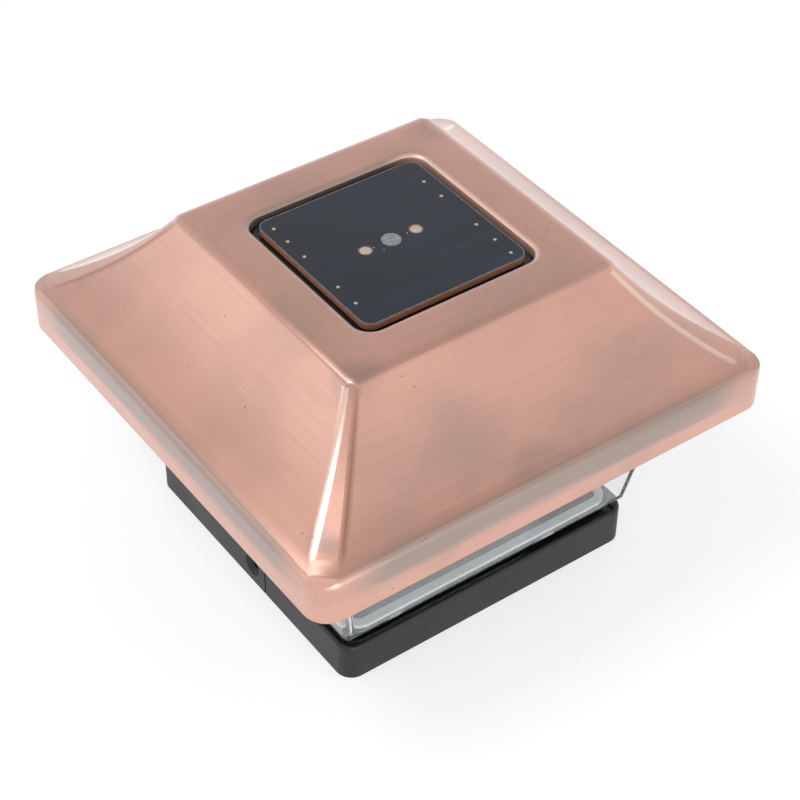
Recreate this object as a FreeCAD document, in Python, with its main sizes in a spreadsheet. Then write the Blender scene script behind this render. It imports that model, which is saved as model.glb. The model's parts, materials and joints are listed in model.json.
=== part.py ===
"""Deck post cap light: a solar lamp that sits on a square post.

All lengths in millimetres, angles in degrees. +Z is up. The origin is the centre of the base's lower
rim. The -X side of the base is the one with the visible screw hole; -Y is the side to its right.

From the bottom up: the base slips over the post and its deck rests on the post's end. The battery bay
lies on the deck, a gasket and the clear lens on the deck's upstand. The white core clamps the lens by
its floor and carries the liner, whose groove takes the lens wall. The tray stands on the liner and holds
the panel in the window of the copper cap.
"""
import FreeCAD, Part
import math
import os
import Sketcher

V = FreeCAD.Vector
con = Sketcher.Constraint

doc = FreeCAD.newDocument("deck_post_cap_light")
sizes = doc.addObject("Spreadsheet::Sheet", "sizes")

SIZES = {
    # the post and the base
    "post_half": 44.45,             # half of the post end that the socket takes
    "post_gap": 0.3,                # post to rib
    "base_reach": 5.75,             # post face to the outside of the base
    "base_corner": 5.0,
    "base_edge_round": 1.3,
    "skirt_depth": 10.0,            # lower rim to the seat on the post
    "skirt_wall": 2.4,
    "deck_wall": 2.4,
    "rib_width": 2.0,
    "rib_pitch": 26.0,
    "rib_lead": 0.8,                # ribs start this far above the lower rim
    "side_boss_width": 12.0,
    "side_screw_height": 6.2,
    "side_screw_shift": 2.0,        # the two side screws pass each other in the post
    "side_screw_radius": 2.25,
    "side_sink_radius": 3.6,
    "side_sink_depth": 1.5,
    "witness_width": 0.5,
    "witness_depth": 0.4,
    "witness_height": 8.6,
    "witness_shift": 6.8,           # from the screw hole
    "deck_opening_gap": 0.4,        # flange of the battery bay to the side of the opening
    "deck_opening_y": 20.0,
    "deck_opening_corner": 3.0,
    "upstand_inset": 2.9,           # foot of the lens to the outside of the upstand
    "upstand_corner": 4.6,
    "upstand_well_corner": 2.6,
    "upstand_wall": 3.5,
    "upstand_height": 2.2,
    "base_gasket_inset": 0.7,
    "base_gasket_corner": 5.5,
    "base_gasket_width": 2.6,
    "base_gasket_thickness": 1.0,
    # the lens
    "lens_inset": 0.4,              # side of the base to the foot of the lens
    "lens_flare": 7.7,              # the wall leans out by this much
    "lens_height": 48.1,
    "lens_wall": 1.9,
    "lens_floor": 2.0,
    "lens_corner": 2.0,
    "lens_foot_round": 1.5,
    "lens_hole_corner": 3.0,
    "lens_engagement": 2.2,         # lens wall inside the groove of the liner
    # the liner
    "liner_wall": 2.0,
    "liner_gap": 0.3,               # liner to the inside of the rim
    "liner_flange_height": 7.5,
    "liner_flange_wall": 2.0,
    "groove_gap": 0.3,
    "groove_cheek": 1.8,
    "groove_cover": 2.0,
    "lens_seal_thickness": 0.8,
    # the cap
    "cap_half": 75.0,
    "cap_height": 42.7,
    "cap_corner": 7.2,
    "cap_drop": 2.0,                # the rim hangs this far below the liner
    "sheet": 0.8,
    "roof_run": 32.33,              # from the rim in to where the roof would meet the flat top
    "roof_eave_height": 12.9,       # height where the roof would meet the rim
    "roof_eave_slope": 28.89,       # degrees, at the rim
    "roof_top_round": 4.5,
    "rim_bend": 3.4,
    "hip_width_top": 3.4,
    "hip_width_eave": 8.0,
    "hip_eave_slope": 21.57,        # degrees, at the rim
    "window_half": 29.0,
    "window_corner": 5.2,
    "lip_roll": 1.5,
    "lip_depth": 3.5,
    # the panel and its tray
    "panel_gap": 2.2,               # panel to the lip of the cap
    "panel_corner": 3.6,
    "panel_thickness": 2.0,
    "panel_set": 0.6,               # the panel lies this far below the flat top
    "panel_pad_inset": 1.1,
    "panel_pad_thickness": 0.5,
    "terminal_left": 8.5,
    "terminal_right": 8.3,
    "terminal_radius": 2.1,
    "terminal_thickness": 0.2,
    "sensor_radius": 2.8,
    "sensor_thickness": 1.0,
    "inlay_gap": 0.05,
    "tray_reach": 2.3,              # the shoulder of the tray goes under the cap
    "tray_corner": 4.0,
    "tray_wall": 2.0,
    "tray_foot_reach": 7.0,
    "tray_foot_thickness": 2.0,
    "tray_plateau_gap": 0.4,        # plateau of the tray to the lip of the cap
    "cap_gasket_thickness": 0.8,
    "cap_gasket_width": 2.3,
    "lead_slot_x": 11.5,
    "lead_slot_y": 3.5,
    "lead_slot_corner": 1.0,
    # the core
    "core_seat": 2.0,               # the foot overlaps the floor of the lens
    "core_taper": 4.0,
    "core_corner": 4.0,
    "core_wall": 2.0,
    "core_flange_reach": 2.8,
    "core_flange_set": 0.5,
    "core_flange_height": 2.4,
    "core_block_half": 3.2,
    "core_block_height": 13.6,
    "core_boss_radius": 2.8,
    "core_boss_height": 8.0,
    "window_radius": 2.75,
    # the battery bay
    "bay_margin": 1.5,              # trough to the rim of the flange
    "bay_corner": 3.0,
    "bay_flange": 2.0,
    "trough_shift": 6.0,            # the cell lies beside the centre line
    "trough_wall": 1.5,
    "trough_spare": 5.5,            # room for the spring and the contacts
    "cell_side_gap": 0.45,
    "cell_top_gap": 0.4,
    "post_radius": 2.2,
    "post_x": 17.0,
    "post_y": 22.0,
    "board_gap": 1.65,              # trough to the board
    "cell_length": 50.5,
    "cell_radius": 7.25,
    "cell_low_gap": 0.55,           # cell to the flange side of the trough
    "cell_nub_radius": 2.75,
    "cell_nub_length": 1.2,
    "contact_sheet": 0.4,
    "contact_width": 11.0,
    "tag_width": 3.0,
    "tag_gap": 0.2,
    "spring_wire": 0.7,
    "spring_foot_radius": 4.5,
    "spring_tip_radius": 3.0,
    # the board
    "board_inset": 4.2,             # foot of the core to the side of the board
    "board_corner": 2.5,
    "board_thickness": 1.6,
    "led_radius": 2.5,
    "led_length": 9.0,
    "led_height": 3.0,              # axis of the LED above the board
    "led_tip_inset": 1.3,           # foot of the core to the tip of the LED
    "led_holder_wall": 0.4,
    "led_holder_length": 3.5,
    "chip_row": 9.0,
    "chip_column": 11.0,
    "controller_length": 6.0,
    "controller_width": 5.0,
    "controller_height": 1.6,
    "inductor_radius": 3.1,
    "inductor_height": 4.2,
    "capacitor_radius": 2.5,
    "capacitor_height": 7.0,
    "diode_length": 3.6,
    "diode_width": 2.0,
    "diode_height": 1.1,
    "resistor_length": 3.2,
    "resistor_width": 1.6,
    "resistor_height": 0.6,
    # the battery door
    "door_inset": 1.0,
    "door_margin_near": 0.8,        # trough to the hinge side of the door
    "door_margin_far": 1.0,
    "door_thickness": 1.4,
    "door_seat_gap": 0.5,           # bay flange to door
    "door_seal_gap": 0.1,
    "door_seal_width": 1.0,
    "door_seal_set": 0.3,
    "door_seal_corner": 1.5,
    "door_rib_gap": 0.15,
    "door_rib_wall": 1.2,
    "door_rib_width": 6.0,
    "thumb_notch_length": 14.0,
    "thumb_notch_width": 2.6,
    "thumb_notch_depth": 0.7,
    "hinge_out": 1.2,               # door edge to the hinge axis
    "hinge_drop": 1.2,              # axis below the bay flange
    "knuckle_radius": 1.1,
    "knuckle_from": 18.0,
    "knuckle_length": 4.0,
    "lug_length": 3.4,
    "hinge_end_gap": 0.3,
    "hinge_pin_radius": 0.6,
    "hinge_bore_gap": 0.05,
    "hinge_pin_set": 0.2,
    # the switch
    "switch_shift": 11.5,
    "switch_length": 9.0,
    "switch_width": 5.0,
    "switch_height": 3.6,
    "switch_ear_length": 18.0,
    "switch_ear_thickness": 0.8,
    "switch_travel": 2.5,
    "stem_length": 2.6,
    "stem_width": 2.2,
    "slider_length": 4.0,
    "slider_width": 3.2,
    "slider_height": 1.5,
    "slide_gap": 0.2,
    "thumb_length": 6.0,
    "thumb_width": 3.6,
    "thumb_thickness": 1.2,
    "thumb_groove_width": 0.5,
    "thumb_groove_depth": 0.3,
    # leads and screws
    "lead_radius": 0.7,
    "switch_lead_radius": 0.5,
    "switch_lead_shift": 2.5,
    "screw_radius": 1.0,
    "screw_clearance": 0.3,
    "screw_bite_gap": 0.05,
    "screw_head_radius": 2.1,
    "screw_head_height": 1.4,
    "small_screw_radius": 0.8,
    "small_head_radius": 1.5,
    "small_head_height": 0.9,
    "base_screw_inset": 4.0,        # rim of the battery bay to the screw
    "base_screw_set": 0.1,
    "base_screw_length": 14.0,
    "liner_screw_at": 20.0,
    "liner_screw_length": 9.5,
    "tray_screw_reach": 3.0,        # side of the tray to the screw
    "tray_screw_length": 6.5,
    "tray_screw_boss": 2.6,
    "board_screw_length": 8.0,
    "switch_screw_at": 7.0,
    "switch_screw_length": 3.2,
}
for row, (name, value) in enumerate(SIZES.items(), 1):
    sizes.set("A%d" % row, name)
    sizes.set("B%d" % row, str(value))
    sizes.setAlias("B%d" % row, name)
doc.recompute()


# sizes that follow from those of the sheet, so that the pieces stay together when one changes
FOLLOWS = {
    "base_half": "post_half + base_reach",
    "lens_foot_half": "base_half - lens_inset",
    "lens_top_half": "lens_foot_half + lens_flare",
    "upstand_half": "lens_foot_half - upstand_inset",
    "base_gasket_half": "upstand_half - base_gasket_inset",
    "roof_top_half": "cap_half - roof_run",
    "roof_rise": "cap_height - roof_eave_height",
    "roof_radius": "sqrt(roof_run^2 + roof_rise^2) / (2 * sin(atan(roof_rise / roof_run)"
                   " - roof_eave_slope * 1 deg))",
    "hip_run": "roof_run * sqrt(2) - (hip_width_eave - hip_width_top) / 2",
    "hip_radius": "sqrt(hip_run^2 + roof_rise^2) / (2 * sin(atan(roof_rise / hip_run)"
                  " - hip_eave_slope * 1 deg))",
    "panel_half": "window_half - panel_gap",
    "panel_pad_half": "panel_half - panel_pad_inset",
    "tray_half": "window_half + tray_reach",
    "tray_foot_half": "tray_half + tray_foot_reach",
    "tray_screw_at": "tray_half + tray_screw_reach",
    "trough_length": "cell_length + trough_spare",
    "trough_width": "2 * (cell_radius + cell_side_gap)",
    "trough_depth": "cell_height + cell_radius + cell_top_gap",
    "cell_height": "cell_radius + cell_low_gap",
    "post_height": "trough_depth + trough_wall + board_gap",
    "bay_half": "trough_length / 2 + trough_wall + bay_margin",
    "deck_opening_x": "bay_half + deck_opening_gap",
    "lens_hole_half": "bay_half",
    "core_foot_half": "lens_hole_half + core_seat",
    "core_top_half": "core_foot_half - core_taper",
    "core_flange_half": "core_foot_half - core_flange_reach",
    "board_half": "core_foot_half - board_inset",
    "led_tip": "core_foot_half - led_tip_inset",
    "base_screw_at": "bay_half - base_screw_inset",
    "door_half": "bay_half - door_inset",
    "door_edge_near": "trough_shift + trough_width / 2 + trough_wall + door_margin_near",
    "door_edge_far": "trough_width / 2 + trough_wall - trough_shift + door_margin_far",
    "hinge_shift": "door_edge_near + hinge_out",
}


def of(text):
    """Write an expression: the name of a size becomes its cell, and one that follows its own rule."""
    out = ""
    word = ""
    for letter in text + " ":
        if letter.isalnum() or letter == "_":
            word += letter
            continue
        if word in FOLLOWS:
            word = "(" + of(FOLLOWS[word]) + ")"
        out += "sizes." + word if word in SIZES else word
        out += letter
        word = ""
    return out.strip()


def num(expression):
    return float(sizes.evalExpression(of(expression)))


# ---- heights at which the pieces meet, measured from the lower rim of the base
DECK = "(skirt_depth + deck_wall)"
LENS = "(%s + upstand_height + base_gasket_thickness)" % DECK
CORE = "(%s + lens_floor)" % LENS
LINER = "(%s + lens_height - lens_engagement)" % LENS
TRAY = "(%s + liner_wall)" % LINER
RIM = "(%s - cap_drop)" % LINER
TOP = "(%s + cap_height)" % RIM
PANEL = "(%s - panel_set - panel_thickness)" % TOP
PLATEAU = "(%s - panel_pad_thickness)" % PANEL
LIP = "(%s - lip_depth)" % TOP
SHOULDER = "(%s - cap_gasket_thickness)" % LIP
BAY_TOP = "(%s + bay_flange)" % DECK
BOARD = "(%s + post_height)" % DECK
DOOR = "(%s - door_seat_gap - door_thickness)" % DECK
HINGE = "(%s - hinge_drop)" % DECK
CELL = "(%s + cell_height)" % DECK
# ---- widths that follow from more than one size
CORE_HEIGHT = "(lens_height - lens_engagement - lens_floor)"
LENS_SLOPE = "((lens_top_half - lens_foot_half) / lens_height)"
GROOVE_OUT = "(lens_top_half + groove_gap)"
GROOVE_IN = "(lens_top_half - lens_wall - %s * lens_engagement - groove_gap)" % LENS_SLOPE
LINER_HALF = "(cap_half - sheet - liner_gap)"
LINER_CORNER = "(cap_corner - sheet - liner_gap)"


def new_body(label, height="0"):
    body = doc.addObject("PartDesign::Body", label)
    body.Label = label
    body.AllowCompound = True
    body.setExpression("Placement.Base.z", of(height))
    return body


def origin(body, role):
    return [item for item in body.Origin.OriginFeatures if item.Role == role][0]


def sketch_on(body, name, plane, at=("0", "0", "0"), turn=None):
    """An empty sketch on a plane of the body. In the plane's own axes, at is across, up and out."""
    sketch = body.newObject("Sketcher::SketchObject", name)
    sketch.AttachmentSupport = [(origin(body, plane), "")]
    sketch.MapMode = "FlatFace"
    if turn:
        rotation = FreeCAD.Rotation(V(*turn[0]), turn[1])
        sketch.AttachmentOffset = FreeCAD.Placement(V(0, 0, 0), rotation)
    for axis, expression in zip("xyz", at):
        if expression != "0":
            sketch.setExpression("AttachmentOffset.Base." + axis, of(expression))
    return sketch


def bind(sketch, rules, dimensions):
    """Add the plain rules, then each named dimension with its expression."""
    sketch.addConstraint(rules)
    for name, args, expression in dimensions:
        index = sketch.addConstraint(con(*args, num(expression)))
        sketch.renameConstraint(index, name)
        sketch.setExpression("Constraints." + name, of(expression))


def draw_round(sketch, radius):
    sketch.addGeometry([Part.Circle(V(0, 0, 0), V(0, 0, 1), num(radius))], False)
    bind(sketch, [con("Coincident", 0, 3, -1, 1)], [("radius", ("Radius", 0), radius)])


def draw_box(sketch, width, depth):
    """A rectangle with sharp corners, centred on the sketch origin."""
    a = num(width) / 2
    b = num(depth) / 2
    corners = [V(-a, -b, 0), V(a, -b, 0), V(a, b, 0), V(-a, b, 0)]
    sketch.addGeometry([Part.LineSegment(corners[i], corners[(i + 1) % 4]) for i in range(4)], False)
    rules = [con("Coincident", i, 2, (i + 1) % 4, 1) for i in range(4)]
    rules += [con("Horizontal", 2), con("Vertical", 3)]
    rules += [con("Symmetric", 0, 1, 0, 2, -2), con("Symmetric", 1, 1, 1, 2, -1)]
    bind(sketch, rules, [
        ("width", ("DistanceX", 3, 1, 1, 1), width),
        ("depth", ("DistanceY", 0, 1, 2, 1), depth),
    ])


def draw_square(sketch, width, depth, corner):
    """A rectangle with rounded corners, centred on the sketch origin."""
    n = sketch.GeometryCount
    a = num(width) / 2
    b = num(depth) / 2
    r = num(corner)
    sides = [
        Part.LineSegment(V(r - a, -b, 0), V(a - r, -b, 0)),
        Part.LineSegment(V(a, r - b, 0), V(a, b - r, 0)),
        Part.LineSegment(V(a - r, b, 0), V(r - a, b, 0)),
        Part.LineSegment(V(-a, b - r, 0), V(-a, r - b, 0)),
    ]
    arcs = []
    for x, y, start in ((a - r, r - b, 270), (a - r, b - r, 0), (r - a, b - r, 90), (r - a, r - b, 180)):
        circle = Part.Circle(V(x, y, 0), V(0, 0, 1), r)
        arcs.append(Part.ArcOfCircle(circle, math.radians(start), math.radians(start + 90)))
    sketch.addGeometry(sides + arcs, False)
    rules = []
    for i in range(4):
        rules.append(con("Tangent", n + i, 2, n + 4 + i, 1))
        rules.append(con("Tangent", n + 4 + i, 2, n + (i + 1) % 4, 1))
    rules += [con("Horizontal", n + 2), con("Vertical", n + 3)]
    rules += [con("Equal", n + 4, n + 5), con("Equal", n + 4, n + 6), con("Equal", n + 4, n + 7)]
    rules += [con("Symmetric", n, 1, n, 2, -2), con("Symmetric", n + 1, 1, n + 1, 2, -1)]
    bind(sketch, rules, [
        ("width%d" % n, ("DistanceX", n + 3, 1, n + 1, 1), width),
        ("depth%d" % n, ("DistanceY", n, 1, n + 2, 1), depth),
        ("corner%d" % n, ("Radius", n + 4), corner),
    ])


def draw_ring(sketch, *outlines):
    """A rounded rectangle with a smaller one inside it."""
    draw_square(sketch, *outlines[:3])
    draw_square(sketch, *outlines[3:])


def draw_polygon(sketch, points):
    """A closed outline through points; "0" keeps a point on an axis of the sketch."""
    places = [V(num(x), num(y), 0) for x, y in points]
    count = len(places)
    sketch.addGeometry([Part.LineSegment(places[i], places[(i + 1) % count]) for i in range(count)], False)
    rules = [con("Coincident", i, 2, (i + 1) % count, 1) for i in range(count)]
    dimensions = []
    for i, (x, y) in enumerate(points):
        if x == "0":
            rules.append(con("PointOnObject", i, 1, -2))
        else:
            dimensions.append(("x%d" % i, ("DistanceX", -1, 1, i, 1), x))
        if y == "0":
            rules.append(con("PointOnObject", i, 1, -1))
        else:
            dimensions.append(("y%d" % i, ("DistanceY", -1, 1, i, 1), y))
    bind(sketch, rules, dimensions)


DRAW = {1: draw_round, 2: draw_box, 3: draw_square, 6: draw_ring}


def prism(body, name, outline, length, at=("0", "0", "0"), plane="XY_Plane", cut=False, middle=False):
    """Pad or pocket an outline outwards from a plane.

    The outline is a radius; a width and depth; these and a corner radius; or two such threes, a ring."""
    sketch = sketch_on(body, name + "_outline", plane, at)
    DRAW[len(outline)](sketch, *outline)
    return extrude(body, sketch, name, length, cut, middle)


def extrude(body, sketch, name, length, cut=False, middle=False):
    feature = body.newObject("PartDesign::Pocket" if cut else "PartDesign::Pad", name)
    feature.Profile = sketch
    feature.Type = "Length"
    feature.setExpression("Length", of(length))
    if middle:
        feature.Midplane = True
    elif cut:
        feature.Reversed = True
    body.Tip = feature
    return feature


def four_times(body, name, *features):
    """Repeat features on the four sides or corners."""
    pattern = body.newObject("PartDesign::PolarPattern", name)
    pattern.Originals = list(features)
    pattern.Axis = (origin(body, "Z_Axis"), [""])
    pattern.Angle = 360
    pattern.Occurrences = 4
    body.Tip = pattern
    return pattern


def half_turn(body, name, *features):
    """Repeat features on the opposite side, turned about the vertical axis."""
    pattern = four_times(body, name, *features)
    pattern.Occurrences = 2
    return pattern


def mirrored(body, name, plane, *features):
    mirror = body.newObject("PartDesign::Mirrored", name)
    mirror.Originals = list(features)
    mirror.MirrorPlane = (origin(body, plane), [""])
    body.Tip = mirror
    return mirror


def turned(body, name, points, at=("0", "0", "0"), plane="XZ_Plane", turn=None, cut=False, axis="V_Axis"):
    """Revolve a half section about an axis of its sketch."""
    sketch = sketch_on(body, name + "_section", plane, at, turn)
    draw_polygon(sketch, points)
    feature = body.newObject("PartDesign::Groove" if cut else "PartDesign::Revolution", name)
    feature.Profile = sketch
    feature.ReferenceAxis = (sketch, [axis])
    feature.Angle = 360
    body.Tip = feature
    return feature


def drafted(body, name, foot, top, height, corner, z="0", cut=False):
    """A square block whose sides lean, with the same corner radius at foot and top."""
    ends = []
    for end, half, level in (("foot", foot, z), ("top", top, "%s + %s" % (z, height))):
        sketch = sketch_on(body, "%s_%s" % (name, end), "XY_Plane", ("0", "0", level))
        draw_square(sketch, "2 * (%s)" % half, "2 * (%s)" % half, corner)
        ends.append(sketch)
    feature = body.newObject("PartDesign::SubtractiveLoft" if cut else "PartDesign::AdditiveLoft", name)
    feature.Profile = ends[0]
    feature.Sections = [ends[1]]
    feature.Ruled = True
    body.Tip = feature
    return feature


def edges_where(body, test):
    """Names of the edges of the body's last feature that pass the test."""
    doc.recompute()
    shape = body.Tip.Shape
    return ["Edge%d" % i for i, edge in enumerate(shape.Edges, 1) if test(shape, edge)]


def at_height(level):
    """A test for edges that lie flat at a height of the body."""
    z = num(level)

    def test(shape, edge):
        box = edge.BoundBox
        return abs(box.ZMin - z) < 0.01 and abs(box.ZMax - z) < 0.01

    return test


def beside_a_wall(shape, edge):
    """True where one of the two faces at the middle of the edge is vertical."""
    middle = edge.valueAt((edge.FirstParameter + edge.LastParameter) / 2)
    for face in shape.ancestorsOfType(edge, Part.Face):
        if abs(face.normalAt(*face.Surface.parameter(middle)).z) < 0.01:
            return True
    return False


def farther_than(limit):
    """A test for edges that reach farther from the middle than a limit."""
    reach = num(limit)

    def test(shape, edge):
        box = edge.BoundBox
        return max(abs(box.XMin), abs(box.XMax), abs(box.YMin), abs(box.YMax)) > reach

    return test


def fillet(body, name, edges, radius):
    base = body.Tip
    feature = body.newObject("PartDesign::Fillet", name)
    feature.Base = (base, edges)
    feature.setExpression("Radius", of(radius))
    body.Tip = feature
    return feature


def screws(label, height, spot, head, shank, length, upwards, sunk, pattern=four_times):
    """Screws in one node: a pan or countersunk head and its shank, repeated about the middle."""
    head_radius, head_height = head
    body = new_body(label, height)
    points = [("0", "0"), (head_radius, "0")]
    if not sunk:
        points.append((head_radius, head_height))
    points += [(shank, head_height), (shank, length), ("0", length)]
    turn = None if upwards else ((0, 0, 1), 180)
    first = turned(body, label + "_one", points, (spot[0], "0", "-(%s)" % spot[1]), turn=turn)
    pattern(body, label + "_all", first)
    return body


# ------------------------------------------------------------------ base
base = new_body("base")
prism(base, "base_block", ("2 * base_half", "2 * base_half", "base_corner"), DECK)
fillet(base, "base_edge", edges_where(base, at_height(DECK)), "base_edge_round")
SKIRT_IN = "(base_half - skirt_wall)"
RIB_IN = "(post_half + post_gap)"
RIB_DEEP = "(%s - %s)" % (SKIRT_IN, RIB_IN)
prism(base, "socket", ("2 * %s" % SKIRT_IN, "2 * %s" % SKIRT_IN, "base_corner - skirt_wall"),
      "skirt_depth", cut=True)
UPSTAND_IN = "(upstand_half - upstand_wall)"
prism(base, "upstand", ("2 * upstand_half", "2 * upstand_half", "upstand_corner"), "upstand_height",
      ("0", "0", DECK))
prism(base, "upstand_well", ("2 * " + UPSTAND_IN, "2 * " + UPSTAND_IN, "upstand_well_corner"),
      "upstand_height + 1", ("0", "0", DECK), cut=True)
RIB_Y = "-(%s + %s) / 2" % (SKIRT_IN, RIB_IN)
ribs = []
for side, shift in (("left", "-rib_pitch"), ("middle", "0"), ("right", "rib_pitch")):
    ribs.append(prism(base, "rib_" + side, ("rib_width", RIB_DEEP), "skirt_depth - rib_lead",
                      (shift, RIB_Y, "rib_lead")))
four_times(base, "ribs", *ribs)
side_boss = prism(base, "side_boss", ("side_boss_width", "skirt_depth"), RIB_DEEP,
                  ("side_screw_shift", "skirt_depth / 2", RIB_IN), plane="YZ_Plane")
half_turn(base, "side_bosses", side_boss)
side_hole = prism(base, "side_hole", ("side_screw_radius",), "skirt_wall + %s + 2" % RIB_DEEP,
                  ("side_screw_shift", "side_screw_height", RIB_IN + " - 1"), plane="YZ_Plane", cut=True)
side_sink = turned(base, "side_sink", [
    ("0", "0"), ("side_sink_depth", "0"), ("side_sink_depth", "side_sink_radius"),
    ("0", "side_screw_radius")],
    ("base_half - side_sink_depth", "side_screw_height", "-side_screw_shift"), axis="H_Axis", cut=True)
witness = prism(base, "witness", ("witness_width", "witness_height"), "witness_depth + 1",
                ("side_screw_shift + witness_shift", "witness_height / 2", "base_half - witness_depth"),
                plane="YZ_Plane", cut=True)
half_turn(base, "side_screw_holes", side_hole, side_sink, witness)
prism(base, "deck_opening", ("2 * deck_opening_x", "2 * deck_opening_y", "deck_opening_corner"),
      "deck_wall + 1", ("0", "0", "skirt_depth - 0.5"), cut=True)
deck_hole = prism(base, "deck_hole", ("screw_radius + screw_clearance",), "deck_wall + 1",
                  ("base_screw_at", "-base_screw_at", "skirt_depth - 0.5"), cut=True)
deck_sink = turned(base, "deck_sink", [
    ("0", "0"), ("screw_head_radius + screw_clearance", "0"),
    ("screw_radius + screw_clearance", "screw_head_height"), ("0", "screw_head_height")],
    ("base_screw_at", "skirt_depth", "base_screw_at"), cut=True)
four_times(base, "deck_holes", deck_hole, deck_sink)

# ------------------------------------------------------------------ base_gasket
gasket = new_body("base_gasket", "%s + upstand_height" % DECK)
GASKET_IN = "2 * (base_gasket_half - base_gasket_width)"
prism(gasket, "gasket_ring", ("2 * base_gasket_half", "2 * base_gasket_half", "base_gasket_corner",
                              GASKET_IN, GASKET_IN, "base_gasket_corner - base_gasket_width"),
      "base_gasket_thickness")

# ------------------------------------------------------------------ lens
lens = new_body("lens", LENS)
drafted(lens, "lens_outside", "lens_foot_half", "lens_top_half", "lens_height", "lens_corner")
INNER_FOOT = "lens_foot_half - lens_wall + %s * lens_floor" % LENS_SLOPE
INNER_CORNER = "lens_corner * 0.75"
drafted(lens, "lens_inside", INNER_FOOT, "lens_top_half - lens_wall", "lens_height - lens_floor",
        INNER_CORNER, "lens_floor", cut=True)
prism(lens, "lens_hole", ("2 * lens_hole_half", "2 * lens_hole_half", "lens_hole_corner"),
      "lens_floor + 1", ("0", "0", "-0.5"), cut=True)


def lens_foot(shape, edge):
    return at_height("0")(shape, edge) and farther_than("lens_hole_half + 1")(shape, edge)


fillet(lens, "lens_foot_edge", edges_where(lens, lens_foot), "lens_foot_round")

# ------------------------------------------------------------------ lens_seal
seal = new_body("lens_seal", "%s + lens_height" % LENS)
SEAL_IN = "2 * (lens_top_half - lens_wall)"
prism(seal, "lens_seal_ring", ("2 * lens_top_half", "2 * lens_top_half", "lens_corner",
                               SEAL_IN, SEAL_IN, INNER_CORNER), "lens_seal_thickness")

# ------------------------------------------------------------------ cap_liner
liner = new_body("cap_liner", LINER)
prism(liner, "liner_plate", ("2 * " + LINER_HALF, "2 * " + LINER_HALF, LINER_CORNER), "liner_wall")
FLANGE_IN = "2 * (%s - liner_flange_wall)" % LINER_HALF
prism(liner, "liner_flange", ("2 * " + LINER_HALF, "2 * " + LINER_HALF, LINER_CORNER,
                              FLANGE_IN, FLANGE_IN, LINER_CORNER + " - liner_flange_wall"),
      "liner_flange_height")
CHEEK_OUT = "2 * (%s + groove_cheek)" % GROOVE_OUT
CHEEK_IN = "2 * (%s - groove_cheek)" % GROOVE_IN
GROOVE_TOP = "(lens_engagement + lens_seal_thickness)"
prism(liner, "channel", (CHEEK_OUT, CHEEK_OUT, "lens_corner + groove_gap + groove_cheek",
                         CHEEK_IN, CHEEK_IN, INNER_CORNER), GROOVE_TOP + " + groove_cover")
prism(liner, "groove", ("2 * " + GROOVE_OUT, "2 * " + GROOVE_OUT, "lens_corner + groove_gap",
                        "2 * " + GROOVE_IN, "2 * " + GROOVE_IN, INNER_CORNER), GROOVE_TOP, cut=True)
liner_boss = prism(liner, "liner_boss", ("tray_screw_boss",), "tray_screw_boss",
                   ("tray_screw_at", "tray_screw_at", "-tray_screw_boss"))
liner_bite = prism(liner, "liner_bite", ("screw_radius + screw_bite_gap",),
                   "tray_screw_boss + liner_wall + 1", ("tray_screw_at", "tray_screw_at",
                                                        "-tray_screw_boss - 0.5"), cut=True)
liner_hole = prism(liner, "liner_hole", ("screw_radius + screw_clearance",), "liner_wall + 1",
                   ("liner_screw_at", "liner_screw_at", "-0.5"), cut=True)
four_times(liner, "liner_screw_places", liner_boss, liner_bite, liner_hole)
prism(liner, "liner_slot", ("2 * lead_slot_x", "2 * lead_slot_y", "lead_slot_corner"), "liner_wall + 1",
      ("0", "0", "-0.5"), cut=True)

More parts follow.
